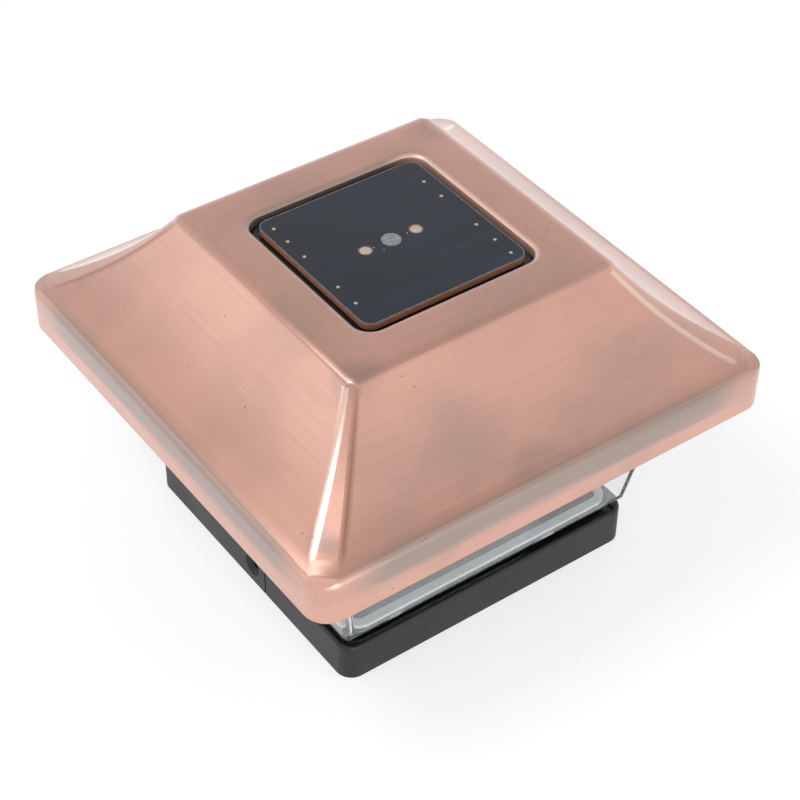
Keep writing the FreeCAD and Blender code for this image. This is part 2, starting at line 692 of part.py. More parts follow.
# ------------------------------------------------------------------ cap_shell
def roof_cut(body, name, ends, heights, radius, inset, wide, turn=None):
    """Cut the stock above one hollow roof face, then repeat it on the four sides.

    The arc of the outer face runs from the flat top to the eave. It is drawn as construction, and the
    arc that cuts is concentric with it and lies the inset deeper."""
    over = 6
    start, far = ends
    top, low = heights
    sketch = sketch_on(body, name + "_section", "XZ_Plane", turn=turn)
    x0, x1, z0, z1, r, d = (num(item) for item in (start, far, low, top, radius, inset))
    chord = math.hypot(x1 - x0, z1 - z0)
    rise = math.sqrt(r * r - chord * chord / 4)
    middle = V((x0 + x1) / 2 + (z1 - z0) / chord * rise, (z0 + z1) / 2 + (x1 - x0) / chord * rise, 0)
    outer = Part.Circle(middle, V(0, 0, 1), r)
    face = Part.Circle(middle, V(0, 0, 1), r + d)
    upper = V(middle.x - math.sqrt((r + d) ** 2 - (middle.y - z1 - over) ** 2), z1 + over, 0)
    lower = V(x1 + over, middle.y - math.sqrt((r + d) ** 2 - (middle.x - x1 - over) ** 2), 0)
    far_corner = V(x1 + over, z1 + over, 0)
    sketch.addGeometry([Part.ArcOfCircle(outer, outer.parameter(V(x0, z1, 0)),
                                         outer.parameter(V(x1, z0, 0)))], True)
    sketch.addGeometry([
        Part.ArcOfCircle(face, face.parameter(upper), face.parameter(lower)),
        Part.LineSegment(lower, far_corner),
        Part.LineSegment(far_corner, upper),
    ], False)
    bind(sketch, [
        con("Coincident", 0, 3, 1, 3),
        con("Coincident", 1, 2, 2, 1),
        con("Coincident", 2, 2, 3, 1),
        con("Coincident", 3, 2, 1, 1),
        con("Vertical", 2),
        con("Horizontal", 3),
    ], [
        ("start_x", ("DistanceX", -1, 1, 0, 1), start),
        ("start_z", ("DistanceY", -1, 1, 0, 1), top),
        ("end_x", ("DistanceX", -1, 1, 0, 2), far),
        ("end_z", ("DistanceY", -1, 1, 0, 2), low),
        ("outer_radius", ("Radius", 0), radius),
        ("face_radius", ("Radius", 1), "%s + %s" % (radius, inset)),
        ("over_x", ("DistanceX", -1, 1, 2, 2), "%s + %d" % (far, over)),
        ("over_z", ("DistanceY", -1, 1, 2, 2), "%s + %d" % (top, over)),
    ])
    cut = extrude(body, sketch, name, wide, cut=True, middle=True)
    return four_times(body, name + "s", cut)


def cap_form(label, height, inset):
    """The pressed form of the cap as a solid, all its faces moved in by the inset.

    Four hollow slopes are cut from a square block and the rim is bent over. The hip facets come after
    the bend, so that they close in a V on the rounded corner of the rim."""
    body = new_body(label, height)
    half = "(cap_half - %s)" % inset
    prism(body, label + "_block", ("2 * " + half, "2 * " + half, "cap_corner - %s" % inset),
          "cap_height - %s" % inset)
    heights = ("cap_height", "roof_eave_height")
    roof_cut(body, label + "_slope", ("roof_top_half", "cap_half"), heights, "roof_radius", inset,
             "2.2 * cap_half")
    eave = num("roof_eave_height")

    def on_the_rim(shape, edge):
        box = edge.BoundBox
        return eave - 2 < box.ZMin and box.ZMax < eave + 2 and beside_a_wall(shape, edge)

    fillet(body, label + "_bend", edges_where(body, on_the_rim), "rim_bend - %s" % inset)
    diagonal = ("roof_top_half * sqrt(2) - hip_width_top / 2", "cap_half * sqrt(2) - hip_width_eave / 2")
    roof_cut(body, label + "_hip", diagonal, heights, "hip_radius", inset, "0.6 * cap_half",
             ((0, 1, 0), 45))
    fillet(body, label + "_top_round", edges_where(body, at_height("cap_height - %s" % inset)),
           "roof_top_round - %s" % inset)
    return body


cap = cap_form("cap_shell", RIM, "0")
cap_core = cap_form("cap_core", "0", "sheet")
hollow = cap.newObject("PartDesign::Boolean", "cap_hollow")
hollow.setObjects([cap_core])
hollow.Type = "Cut"
cap.Tip = hollow
COLLAR = "2 * (window_half + sheet)"
prism(cap, "collar", (COLLAR, COLLAR, "window_corner + sheet", "2 * window_half", "2 * window_half",
                      "window_corner"), "lip_depth - sheet / 2", ("0", "0", "cap_height - lip_depth"))
prism(cap, "window", ("2 * window_half", "2 * window_half", "window_corner"), "2 * sheet + 1",
      ("0", "0", "cap_height - 2 * sheet"), cut=True)


def on_the_collar(level, half):
    z = num(level)
    reach = num(half)

    def test(shape, edge):
        box = edge.BoundBox
        flat = abs(box.ZMin - z) < 0.01 and abs(box.ZMax - z) < 0.01
        return flat and max(abs(box.XMin), abs(box.XMax), abs(box.YMin), abs(box.YMax)) < reach + 0.01

    return test


fillet(cap, "lip_inside", edges_where(cap, on_the_collar("cap_height - sheet", "window_half + sheet")),
       "lip_roll - sheet")
fillet(cap, "lip", edges_where(cap, on_the_collar("cap_height", "window_half")), "lip_roll")

# ------------------------------------------------------------------ panel_tray
tray = new_body("panel_tray", TRAY)
SHOULDER_UP = "(%s - %s)" % (SHOULDER, TRAY)
PLATEAU_UP = "(%s - %s)" % (PLATEAU, TRAY)
prism(tray, "tray_foot", ("2 * tray_foot_half", "2 * tray_foot_half", "tray_corner"),
      "tray_foot_thickness")
prism(tray, "tray_box", ("2 * tray_half", "2 * tray_half", "tray_corner"), SHOULDER_UP)
PLATEAU_HALF = "(window_half - tray_plateau_gap)"
prism(tray, "tray_plateau", ("2 * " + PLATEAU_HALF, "2 * " + PLATEAU_HALF,
                             "window_corner - tray_plateau_gap"), PLATEAU_UP)
TRAY_IN = "2 * (tray_half - tray_wall)"
prism(tray, "tray_hollow", (TRAY_IN, TRAY_IN, "tray_corner - tray_wall"), SHOULDER_UP + " - tray_wall",
      cut=True)
prism(tray, "tray_slot", ("2 * lead_slot_x", "2 * lead_slot_y", "lead_slot_corner"), PLATEAU_UP,
      ("0", "0", "tray_wall"), cut=True)
tray_hole = prism(tray, "tray_hole", ("screw_radius + screw_clearance",), "tray_foot_thickness + 1",
                  ("tray_screw_at", "tray_screw_at", "-0.5"), cut=True)
four_times(tray, "tray_holes", tray_hole)

# ------------------------------------------------------------------ cap_gasket
cap_gasket = new_body("cap_gasket", SHOULDER)
CAP_GASKET_IN = "2 * (tray_half - cap_gasket_width)"
prism(cap_gasket, "cap_gasket_ring", ("2 * tray_half", "2 * tray_half", "tray_corner", CAP_GASKET_IN,
                                      CAP_GASKET_IN, "tray_corner - cap_gasket_width"),
      "cap_gasket_thickness")

# ------------------------------------------------------------------ panel_pad, solar_panel and its inlays
pad = new_body("panel_pad", PLATEAU)
prism(pad, "pad_ring", ("2 * panel_pad_half", "2 * panel_pad_half", "panel_corner",
                        "2 * lead_slot_x", "2 * lead_slot_y", "lead_slot_corner"), "panel_pad_thickness")

panel = new_body("solar_panel", PANEL)
prism(panel, "panel_sheet", ("2 * panel_half", "2 * panel_half", "panel_corner"), "panel_thickness")
for side, shift in (("left", "-terminal_left"), ("right", "terminal_right")):
    prism(panel, "terminal_seat_" + side, ("terminal_radius + inlay_gap",), "terminal_thickness + 1",
          (shift, "0", "panel_thickness - terminal_thickness"), cut=True)
prism(panel, "sensor_seat", ("sensor_radius + inlay_gap",), "sensor_thickness + 1",
      ("0", "0", "panel_thickness - sensor_thickness"), cut=True)

terminals = new_body("panel_terminals", "%s + panel_thickness - terminal_thickness" % PANEL)
for side, shift in (("left", "-terminal_left"), ("right", "terminal_right")):
    prism(terminals, "terminal_" + side, ("terminal_radius",), "terminal_thickness", (shift, "0", "0"))

sensor = new_body("light_sensor", "%s + panel_thickness - sensor_thickness" % PANEL)
prism(sensor, "sensor_disc", ("sensor_radius",), "sensor_thickness")

# ------------------------------------------------------------------ light_box
core = new_body("light_box", CORE)
drafted(core, "core_outside", "core_foot_half", "core_top_half", CORE_HEIGHT, "core_corner")
CORE_SLOPE = "((core_foot_half - core_top_half) / %s)" % CORE_HEIGHT
HOLLOW_TOP = "core_top_half - core_wall + %s * core_wall" % CORE_SLOPE
drafted(core, "core_hollow", "core_foot_half - core_wall", HOLLOW_TOP, CORE_HEIGHT + " - core_wall",
        "core_corner - core_wall", cut=True)
FLANGE_OUT = "2 * (core_foot_half - core_flange_set)"
prism(core, "core_flange", (FLANGE_OUT, FLANGE_OUT, "core_corner - core_flange_set",
                            "2 * core_flange_half", "2 * core_flange_half",
                            "core_corner - core_wall"), "core_flange_height")
BLOCK_AT = "(lens_hole_half - groove_gap - core_block_half)"
BLOCK_DOWN = "(lens_floor + base_gasket_thickness + upstand_height - bay_flange)"
core_block = prism(core, "core_block", ("2 * core_block_half", "2 * core_block_half",
                                        "lens_hole_corner - groove_gap"), "core_block_height",
                   (BLOCK_AT, BLOCK_AT, "-" + BLOCK_DOWN))
core_bite = prism(core, "core_bite", ("screw_radius + screw_bite_gap",), "core_block_height - 1",
                  ("base_screw_at", "base_screw_at", "-%s - 0.5" % BLOCK_DOWN), cut=True)
core_boss = prism(core, "core_boss", ("core_boss_radius",), "core_boss_height + core_wall / 2",
                  ("liner_screw_at", "liner_screw_at", CORE_HEIGHT + " - core_wall - core_boss_height"))
boss_bite = prism(core, "boss_bite", ("screw_radius + screw_bite_gap",), "core_boss_height + core_wall",
                  ("liner_screw_at", "liner_screw_at", CORE_HEIGHT + " - core_boss_height"), cut=True)
light_hole = prism(core, "light_hole", ("window_radius",), "2 * core_wall + 4",
                   ("0", "%s + board_thickness + led_height - %s" % (BOARD, CORE),
                    "led_tip - core_wall - 3"), plane="XZ_Plane", cut=True)
four_times(core, "core_corners", core_block, core_bite, core_boss, boss_bite, light_hole)
prism(core, "core_slot", ("2 * lead_slot_x", "2 * lead_slot_y", "lead_slot_corner"), "core_wall + 1",
      ("0", "0", CORE_HEIGHT + " - core_wall - 0.5"), cut=True)

# ------------------------------------------------------------------ battery_bay
bay = new_body("battery_bay", DECK)
TROUGH_Y = "-trough_shift"
prism(bay, "bay_flange_plate", ("2 * bay_half", "2 * bay_half", "bay_corner"), "bay_flange")
prism(bay, "trough", ("trough_length + 2 * trough_wall", "trough_width + 2 * trough_wall"),
      "trough_depth + trough_wall", ("0", TROUGH_Y, "0"))
bay_post = prism(bay, "bay_post", ("post_radius",), "post_height", ("post_x", "post_y", "0"))
post_bite = prism(bay, "post_bite", ("small_screw_radius + screw_bite_gap",), "board_screw_length",
                  ("post_x", "post_y", "post_height + board_thickness - board_screw_length"), cut=True)
four_times(bay, "bay_posts", bay_post, post_bite)
prism(bay, "trough_hollow", ("trough_length", "trough_width"), "trough_depth", ("0", TROUGH_Y, "0"),
      cut=True)
bay_hole = prism(bay, "bay_hole", ("screw_radius + screw_clearance",), "bay_flange + 1",
                 ("base_screw_at", "base_screw_at", "-0.5"), cut=True)
four_times(bay, "bay_holes", bay_hole)
prism(bay, "switch_slot", ("stem_length + switch_travel + 2 * slide_gap", "stem_width + 2 * slide_gap"),
      "bay_flange + 1", ("0", "switch_shift", "-0.5"), cut=True)
for side, shift in (("left", "-switch_screw_at"), ("right", "switch_screw_at")):
    prism(bay, "switch_bite_" + side, ("small_screw_radius + screw_bite_gap",), "bay_flange + 1",
          (shift, "switch_shift", "-0.5"), cut=True)
TAG_AT = "(trough_length / 2 - contact_sheet / 2)"
for side, shift in (("left", "-" + TAG_AT), ("right", TAG_AT)):
    prism(bay, "tag_slot_" + side, ("contact_sheet + 2 * tag_gap", "tag_width + 2 * tag_gap"),
          "trough_wall + 1", (shift, TROUGH_Y, "trough_depth - 0.5"), cut=True)
LUG_AT = "(knuckle_from + knuckle_length + hinge_end_gap)"
lug = prism(bay, "lug", ("2 * knuckle_radius", "hinge_drop"), "lug_length",
            ("-hinge_shift", "-hinge_drop / 2", LUG_AT), plane="YZ_Plane")
lug_end = prism(bay, "lug_end", ("knuckle_radius",), "lug_length", ("-hinge_shift", "-hinge_drop", LUG_AT),
                plane="YZ_Plane")
lug_bore = prism(bay, "lug_bore", ("hinge_pin_radius + hinge_bore_gap",), "lug_length + 1",
                 ("-hinge_shift", "-hinge_drop", LUG_AT + " - 0.5"), plane="YZ_Plane", cut=True)
mirrored(bay, "lugs", "YZ_Plane", lug, lug_end, lug_bore)

# ------------------------------------------------------------------ control_board and what it carries
board = new_body("control_board", BOARD)
prism(board, "board_sheet", ("2 * board_half", "2 * board_half", "board_corner"), "board_thickness")
board_hole = prism(board, "board_hole", ("small_screw_radius + screw_clearance",), "board_thickness",
                   ("post_x", "post_y", "0"), cut=True)
four_times(board, "board_holes", board_hole)

BOARD_FACE = "%s + board_thickness" % BOARD
chips = new_body("board_components", BOARD_FACE)
prism(chips, "controller", ("controller_length", "controller_width"), "controller_height",
      ("0", "-chip_row", "0"))
prism(chips, "inductor", ("inductor_radius",), "inductor_height", ("chip_column", "chip_row", "0"))
prism(chips, "capacitor", ("capacitor_radius",), "capacitor_height", ("-chip_column", "chip_row", "0"))
prism(chips, "diode", ("diode_length", "diode_width"), "diode_height", ("chip_column", "-chip_row", "0"))
prism(chips, "resistor", ("resistor_length", "resistor_width"), "resistor_height",
      ("-chip_column", "-chip_row", "0"))

leds = new_body("leds", BOARD_FACE)
LED_HIGH = "led_height + led_radius + led_holder_wall"
led_body = prism(leds, "led_body", ("led_radius",), "led_length",
                 ("0", "led_height", "led_tip - led_length"), plane="XZ_Plane")
led_holder = prism(leds, "led_holder", ("2 * (led_radius + led_holder_wall)", LED_HIGH),
                   "led_holder_length", ("0", "(%s) / 2" % LED_HIGH,
                                         "led_tip - led_length - led_holder_wall"), plane="XZ_Plane")
four_times(leds, "led_set", led_body, led_holder)
fillet(leds, "led_dome", edges_where(leds, farther_than("led_tip - 0.01")), "led_radius * 0.9")

# ------------------------------------------------------------------ battery_cell and its contacts
cell = new_body("battery_cell", CELL)
CELL_END = "(trough_length / 2 - contact_sheet)"
turned(cell, "cell_can", [
    ("0", "0"), ("0", "cell_radius"), ("cell_length - cell_nub_length", "cell_radius"),
    ("cell_length - cell_nub_length", "cell_nub_radius"), ("cell_length", "cell_nub_radius"),
    ("cell_length", "0")], ("%s - cell_length" % CELL_END, "0", "trough_shift"), axis="H_Axis")

contact = new_body("battery_plate", CELL)
TAG_UP = "(post_height - cell_height)"
prism(contact, "plate", ("contact_width", "contact_width"), "contact_sheet",
      (TROUGH_Y, "0", CELL_END), plane="YZ_Plane")
prism(contact, "plate_tag", ("tag_width", TAG_UP), "contact_sheet",
      (TROUGH_Y, TAG_UP + " / 2", CELL_END), plane="YZ_Plane")

# ------------------------------------------------------------------ battery_door and door_seal
door = new_body("battery_door", DOOR)
DOOR_WIDE = "(door_edge_near + door_edge_far)"
DOOR_Y = "(door_edge_far - door_edge_near) / 2"
prism(door, "door_plate", ("2 * door_half", DOOR_WIDE), "door_thickness", ("0", DOOR_Y, "0"))
HINGE_UP = "(%s - %s)" % (HINGE, DOOR)
knuckle_web = prism(door, "knuckle_web", ("hinge_shift - door_edge_near + 1", "door_thickness"),
                    "knuckle_length", ("-(hinge_shift + door_edge_near - 1) / 2", "door_thickness / 2",
                                       "knuckle_from"), plane="YZ_Plane")
knuckle = prism(door, "knuckle", ("knuckle_radius",), "knuckle_length",
                ("-hinge_shift", HINGE_UP, "knuckle_from"), plane="YZ_Plane")
knuckle_bore = prism(door, "knuckle_bore", ("hinge_pin_radius + hinge_bore_gap",), "knuckle_length + 1",
                     ("-hinge_shift", HINGE_UP, "knuckle_from - 0.5"), plane="YZ_Plane", cut=True)
mirrored(door, "knuckles", "YZ_Plane", knuckle_web, knuckle, knuckle_bore)
prism(door, "thumb_notch", ("thumb_notch_length", "thumb_notch_width"), "thumb_notch_depth",
      ("0", "door_edge_far - thumb_notch_width", "0"), cut=True)
RIB_UP = "cell_height - cell_radius - door_rib_gap + door_seat_gap"
door_rib = prism(door, "door_rib", ("door_rib_wall", "door_rib_width"), RIB_UP,
                 ("trough_length / 4", TROUGH_Y, "door_thickness"))
mirrored(door, "door_ribs", "YZ_Plane", door_rib)

door_seal = new_body("door_seal", "%s + door_thickness" % DOOR)
SEAL_X = "trough_length + 2 * (trough_wall - door_seal_set)"
SEAL_Y = "trough_width + 2 * (trough_wall - door_seal_set)"
prism(door_seal, "door_seal_ring", (SEAL_X, SEAL_Y, "door_seal_corner",
                                    SEAL_X + " - 2 * door_seal_width", SEAL_Y + " - 2 * door_seal_width",
                                    "door_seal_corner - door_seal_width"),
      "door_seat_gap - door_seal_gap", ("0", TROUGH_Y, "0"))

pins = new_body("hinge_pins", HINGE)
pin = prism(pins, "hinge_pin", ("hinge_pin_radius",),
            "%s + lug_length - knuckle_from - 2 * hinge_pin_set" % LUG_AT,
            ("-hinge_shift", "0", "knuckle_from + hinge_pin_set"), plane="YZ_Plane")
mirrored(pins, "hinge_pin_pair", "YZ_Plane", pin)

# ------------------------------------------------------------------ switch
housing = new_body("switch_body", BAY_TOP)
prism(housing, "switch_block", ("switch_length", "switch_width"), "switch_height",
      ("0", "switch_shift", "0"))
prism(housing, "switch_ears", ("switch_ear_length", "switch_width"), "switch_ear_thickness",
      ("0", "switch_shift", "0"))
SLIDE_LONG = "slider_length + switch_travel + 2 * slide_gap"
prism(housing, "switch_cavity", (SLIDE_LONG, "slider_width + 2 * slide_gap"),
      "slider_height + 2 * slide_gap", ("0", "switch_shift", "0"), cut=True)
for side, shift in (("left", "-switch_screw_at"), ("right", "switch_screw_at")):
    prism(housing, "ear_hole_" + side, ("small_screw_radius + screw_clearance",), "switch_ear_thickness",
          (shift, "switch_shift", "0"), cut=True)

knob = new_body("switch_knob", "%s - slide_gap - thumb_thickness" % DECK)
KNOB_X = "-switch_travel / 2"
prism(knob, "thumb_pad", ("thumb_length", "thumb_width"), "thumb_thickness", (KNOB_X, "switch_shift", "0"))
prism(knob, "stem", ("stem_length", "stem_width"), "thumb_thickness + bay_flange + 2 * slide_gap",
      (KNOB_X, "switch_shift", "0"))
prism(knob, "slider", ("slider_length", "slider_width"), "slider_height",
      (KNOB_X, "switch_shift", "thumb_thickness + bay_flange + 2 * slide_gap"))
for number in range(3):
    prism(knob, "thumb_groove_%d" % number, ("thumb_groove_width", "thumb_width"), "thumb_groove_depth",
          ("%s + (%d) * thumb_length / 4" % (KNOB_X, number - 1), "switch_shift", "0"), cut=True)

switch_leads = new_body("switch_leads", BAY_TOP + " + switch_height")
for side, shift in (("left", "-switch_lead_shift"), ("right", "switch_lead_shift")):
    prism(switch_leads, "switch_lead_" + side, ("switch_lead_radius",), "%s - %s - switch_height"
          % (BOARD, BAY_TOP), (shift, "switch_shift", "0"))

# ------------------------------------------------------------------ battery_spring
def node(label, shape):
    """A piece whose form is wound or bent: its shape is worked out here from the sizes."""
    item = doc.addObject("Part::Feature", label)
    item.Label = label
    item.Shape = shape
    return item


def tube(path, radius):
    """A round tube along a path of lines and arcs."""
    start = path[0].valueAt(path[0].FirstParameter)
    heading = path[0].tangentAt(path[0].FirstParameter)
    section = Part.Wire([Part.makeCircle(radius, start, heading)])
    return Part.Wire(path).makePipeShell([section], True, False)


coil_from = -num(CELL_END) + num("spring_wire") / 2 - 0.15 * num("spring_wire")
coil_to = num(CELL_END) - num("cell_length") - num("spring_wire") / 2
half_turns = 7
coil = []
trace = []
for i in range(half_turns):
    ends = []
    for j in (i, i + 1):
        share = j / half_turns
        radius = num("spring_foot_radius") + share * num("spring_tip_radius - spring_foot_radius")
        side = 1 if j % 2 == 0 else -1
        ends.append(V(coil_from + share * (coil_to - coil_from), -num("trough_shift"), side * radius))
    centre = (ends[0] + ends[1]) / 2
    outwards = V(0, 1 if i % 2 == 0 else -1, 0) * (ends[1] - ends[0]).Length / 2
    coil.append(Part.Arc(ends[0], centre + outwards, ends[1]).toShape())
    trace += coil[-1].discretize(41)[:-1]
spring = tube(coil, num("spring_wire") / 2)
loops = [trace[i] - trace[k] for i in range(len(trace)) for k in range(i + 30, len(trace))]
print("spring: least gap to itself %.2f mm" % (min(item.Length for item in loops) - num("spring_wire")))
sheet_size = V(num("contact_sheet"), num("contact_width"), num("contact_width"))
back = V(-num("trough_length") / 2, -num("trough_shift"), 0)
plate = Part.makeBox(sheet_size.x, sheet_size.y, sheet_size.z,
                     back - V(0, sheet_size.y, sheet_size.z) / 2)
tag = Part.makeBox(sheet_size.x, num("tag_width"), num(TAG_UP),
                   back - V(0, num("tag_width") / 2, 0))
battery_spring = node("battery_spring", plate.fuse([tag, spring]))
battery_spring.setExpression("Placement.Base.z", of(CELL))

# ------------------------------------------------------------------ panel leads
def lead(label, points):
    """A lead along straight runs with a tangent arc at each point, as wide as its two runs allow."""
    edges = []
    last = points[0]
    radii = []
    for before, here, after in zip(points, points[1:], points[2:]):
        one = (before - here).normalize()
        two = (after - here).normalize()
        reach = 0.45 * min((before - here).Length, (after - here).Length)
        half = (math.pi - one.getAngle(two)) / 2
        radius = reach / math.tan(half)
        middle = (one + two).normalize()
        depth = radius / math.cos(half) - radius
        edges.append(Part.LineSegment(last, here + one * reach).toShape())
        edges.append(Part.Arc(here + one * reach, here + middle * depth, here + two * reach).toShape())
        last = here + two * reach
        radii.append(radius)
    edges.append(Part.LineSegment(last, points[-1]).toShape())
    shape = tube(edges, num("lead_radius"))
    length = sum(edge.Length for edge in edges)
    ratio = shape.Volume / (math.pi * num("lead_radius") ** 2 * length)
    print("%s: radii %s mm, volume ratio %.4f" % (label, [round(item, 1) for item in radii], ratio))
    return node(label, shape)


lead_low = num(BOARD_FACE)
lead_high = num(PANEL)


def down(share):
    return lead_high + share * (lead_low - lead_high)


x_left = -num("terminal_left")
x_right = num("terminal_right")
lead("panel_lead_red", [
    V(x_left, 0, lead_high), V(x_left, 0, down(0.16)), V(x_left + 0.7, 1.6, down(0.33)),
    V(x_left + 0.1, 0.9, down(0.5)), V(x_left - 0.6, -1.1, down(0.67)), V(x_left - 0.5, -2.6, down(0.84)),
    V(x_left - 0.5, -2.6, lead_low)])
lead("panel_lead_black", [
    V(x_right, 0, lead_high), V(x_right, 0, down(0.18)), V(x_right - 0.9, -1.3, down(0.34)),
    V(x_right - 0.4, -0.6, down(0.52)), V(x_right + 0.5, 1.2, down(0.66)), V(x_right + 0.4, 2.2, down(0.85)),
    V(x_right + 0.4, 2.2, lead_low)])

# ------------------------------------------------------------------ screws
def across(body, name, first):
    return mirrored(body, name, "YZ_Plane", first)


sunk_head = ("screw_head_radius", "screw_head_height")
small_head = ("small_head_radius", "small_head_height")
screws("base_screws", "skirt_depth + base_screw_set", ("base_screw_at", "base_screw_at"), sunk_head,
       "screw_radius", "base_screw_length", True, True)
screws("liner_screws", TRAY + " + screw_head_height", ("liner_screw_at", "liner_screw_at"), sunk_head,
       "screw_radius", "liner_screw_length", False, False)
screws("tray_screws", TRAY + " + tray_foot_thickness + screw_head_height",
       ("tray_screw_at", "tray_screw_at"), sunk_head, "screw_radius", "tray_screw_length", False, False)
screws("board_screws", BOARD_FACE + " + small_head_height", ("post_x", "post_y"), small_head,
       "small_screw_radius", "board_screw_length", False, False)
screws("switch_screws", BAY_TOP + " + switch_ear_thickness + small_head_height",
       ("switch_screw_at", "switch_shift"), small_head, "small_screw_radius", "switch_screw_length",
       False, False, across)

NAMES = [
    "base", "base_gasket", "lens", "lens_seal", "cap_liner", "cap_shell", "panel_tray", "cap_gasket",
    "panel_pad", "solar_panel", "panel_terminals", "light_sensor", "panel_lead_red", "panel_lead_black",
    "light_box", "battery_bay", "control_board", "board_components", "leds", "battery_cell",
    "battery_spring", "battery_plate", "battery_door", "door_seal", "hinge_pins", "switch_body",
    "switch_knob", "switch_leads", "base_screws", "liner_screws", "tray_screws", "board_screws",
    "switch_screws",
]

# ------------------------------------------------------------------ checks and files
doc.recompute()
NODES = [item for item in doc.Objects if item.Label in NAMES]
problems = []
for item in doc.Objects:
    if "Invalid" in item.State or "Error" in item.State:
        problems.append("%s is %s" % (item.Label, item.State))
    if item.TypeId in ("PartDesign::Pocket", "PartDesign::Groove", "PartDesign::SubtractiveLoft"):
        if item.Shape.isNull() or item.Shape.Volume > item.BaseFeature.Shape.Volume - 1e-6:
            problems.append("%s cuts nothing" % item.Label)
for item in NODES:
    if item.Shape.isNull() or not item.Shape.isValid() or not item.Shape.Solids:
        problems.append("%s has no valid shape" % item.Label)
if sorted(item.Label for item in NODES) != sorted(NAMES):
    problems.append("nodes do not match the list")
if problems:
    raise RuntimeError("; ".join(problems))

os.makedirs("parts", exist_ok=True)
for item in NODES:
    item.Shape.exportStep("parts/%s.step" % item.Label)
    print("%-20s solids %2d  volume %9.1f mm3" % (item.Label, len(item.Shape.Solids), item.Shape.Volume))
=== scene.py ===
# %% [markdown]
# # A solar cap light for a deck post
# This lesson dresses a finished CAD model of a small garden lamp: a brushed copper cap with a solar
# panel in its top, a clear dish under it, and a black moulded base that goes over the post. The CAD
# solids give nearly every size and place. Here they get finishes like those of the real lamp.
# The model is loaded first, because each later step measures itself on it.

# %% Load the lamp
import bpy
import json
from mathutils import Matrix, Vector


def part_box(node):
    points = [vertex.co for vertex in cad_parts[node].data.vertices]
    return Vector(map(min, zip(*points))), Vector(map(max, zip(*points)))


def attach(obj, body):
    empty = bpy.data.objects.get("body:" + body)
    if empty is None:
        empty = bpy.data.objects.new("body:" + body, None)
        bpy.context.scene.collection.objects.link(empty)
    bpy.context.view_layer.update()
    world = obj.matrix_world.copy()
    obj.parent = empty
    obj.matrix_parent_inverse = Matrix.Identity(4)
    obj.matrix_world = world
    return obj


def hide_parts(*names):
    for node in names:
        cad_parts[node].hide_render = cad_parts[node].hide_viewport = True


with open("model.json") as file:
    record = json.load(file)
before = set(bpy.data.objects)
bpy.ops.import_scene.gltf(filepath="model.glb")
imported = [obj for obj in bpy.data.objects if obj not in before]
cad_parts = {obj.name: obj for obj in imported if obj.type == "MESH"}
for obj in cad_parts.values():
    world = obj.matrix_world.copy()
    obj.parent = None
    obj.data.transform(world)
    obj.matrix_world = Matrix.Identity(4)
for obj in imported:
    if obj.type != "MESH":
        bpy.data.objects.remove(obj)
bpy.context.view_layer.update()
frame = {"nodes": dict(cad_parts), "record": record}

# %% Modules and units
import json
import math
import bpy
import bmesh
from mathutils import Matrix, Vector

MM = 0.001
scene = bpy.context.scene
body_of_node = {name: body for body, names in frame["record"]["behaviour"]["bodies"].items()
                for name in names}
print(len(frame["nodes"]), "nodes on", sorted(set(body_of_node.values())))

# %% [markdown]
# ## The camera
# A camera is easiest to place by what it looks at: a point on the lamp, the direction back from there,
# and a distance. A long lens from 0.6 m keeps the edges of the cap nearly parallel, as in a product
# photograph. The camera is made before the pieces, so that each of them is judged in its frame.

# %% The photographer's camera
AZIMUTH, ELEVATION, ROLL = math.radians(-36.235), math.radians(41.772), math.radians(0.747)
AIM = Vector((4.544, 1.227, 40.0)) * MM
DISTANCE = 612.81 * MM
FOCAL_PIXELS, IMAGE_WIDTH = 2099.46, 800        # focal length in pixels of the photograph

right = Vector((math.cos(AZIMUTH), math.sin(AZIMUTH), 0))
back = Vector((math.sin(AZIMUTH) * math.cos(ELEVATION), -math.cos(AZIMUTH) * math.cos(ELEVATION),
               math.sin(ELEVATION)))
up = back.cross(right)
across = right * math.cos(ROLL) + up * math.sin(ROLL)
upward = up * math.cos(ROLL) - right * math.sin(ROLL)
bpy.ops.object.camera_add(location=AIM + back * DISTANCE)
camera = bpy.context.object
camera.name = "photo_camera"
camera.rotation_euler = Matrix((across, upward, back)).transposed().to_euler()
camera.data.sensor_width = 36.0
camera.data.lens = camera.data.sensor_width * FOCAL_PIXELS / IMAGE_WIDTH
camera.data.clip_start = 0.01
scene.camera = camera
print("lens %.1f mm, %.0f mm away" % (camera.data.lens, DISTANCE / MM))

# %% [markdown]
# ## Helpers
# Colours are written as they look on a screen and turned to linear light once. A shader tree is a chain
# of nodes, so one small function adds a node with its settings and its links.

# %% Colour and node helpers
def linear(colour):
    """A colour written as RRGGBB, as linear red, green, blue and a full alpha."""
    parts = [int(colour[i:i + 2], 16) / 255 for i in (0, 2, 4)]
    return [p / 12.92 if p < 0.04045 else ((p + 0.055) / 1.055) ** 2.4 for p in parts] + [1.0]


def add(tree, kind, inputs=None, **settings):
    """Add a node. An input takes a value, or the output of another node."""
    new = tree.nodes.new("ShaderNode" + kind)
    for name, value in settings.items():
        setattr(new, name, value)
    for name, value in (inputs or {}).items():
        if isinstance(value, bpy.types.NodeSocket):
            tree.links.new(value, new.inputs[name])
        else:
            new.inputs[name].default_value = value
    return new


def finish_named(name):
    """A new material with an empty tree, its output and the Object coordinates."""
    material = bpy.data.materials.new(name)
    material.use_nodes = True
    tree = material.node_tree
    tree.nodes.clear()
    out = add(tree, "OutputMaterial")
    place = add(tree, "TexCoord")
    return material, tree, out, place.outputs["Object"]


def per(size_mm):
    """The scale of a pattern whose features are this large, in millimetres."""
    return 1000.0 / size_mm


print("copper in linear light:", [round(value, 3) for value in linear("DEA28A")])

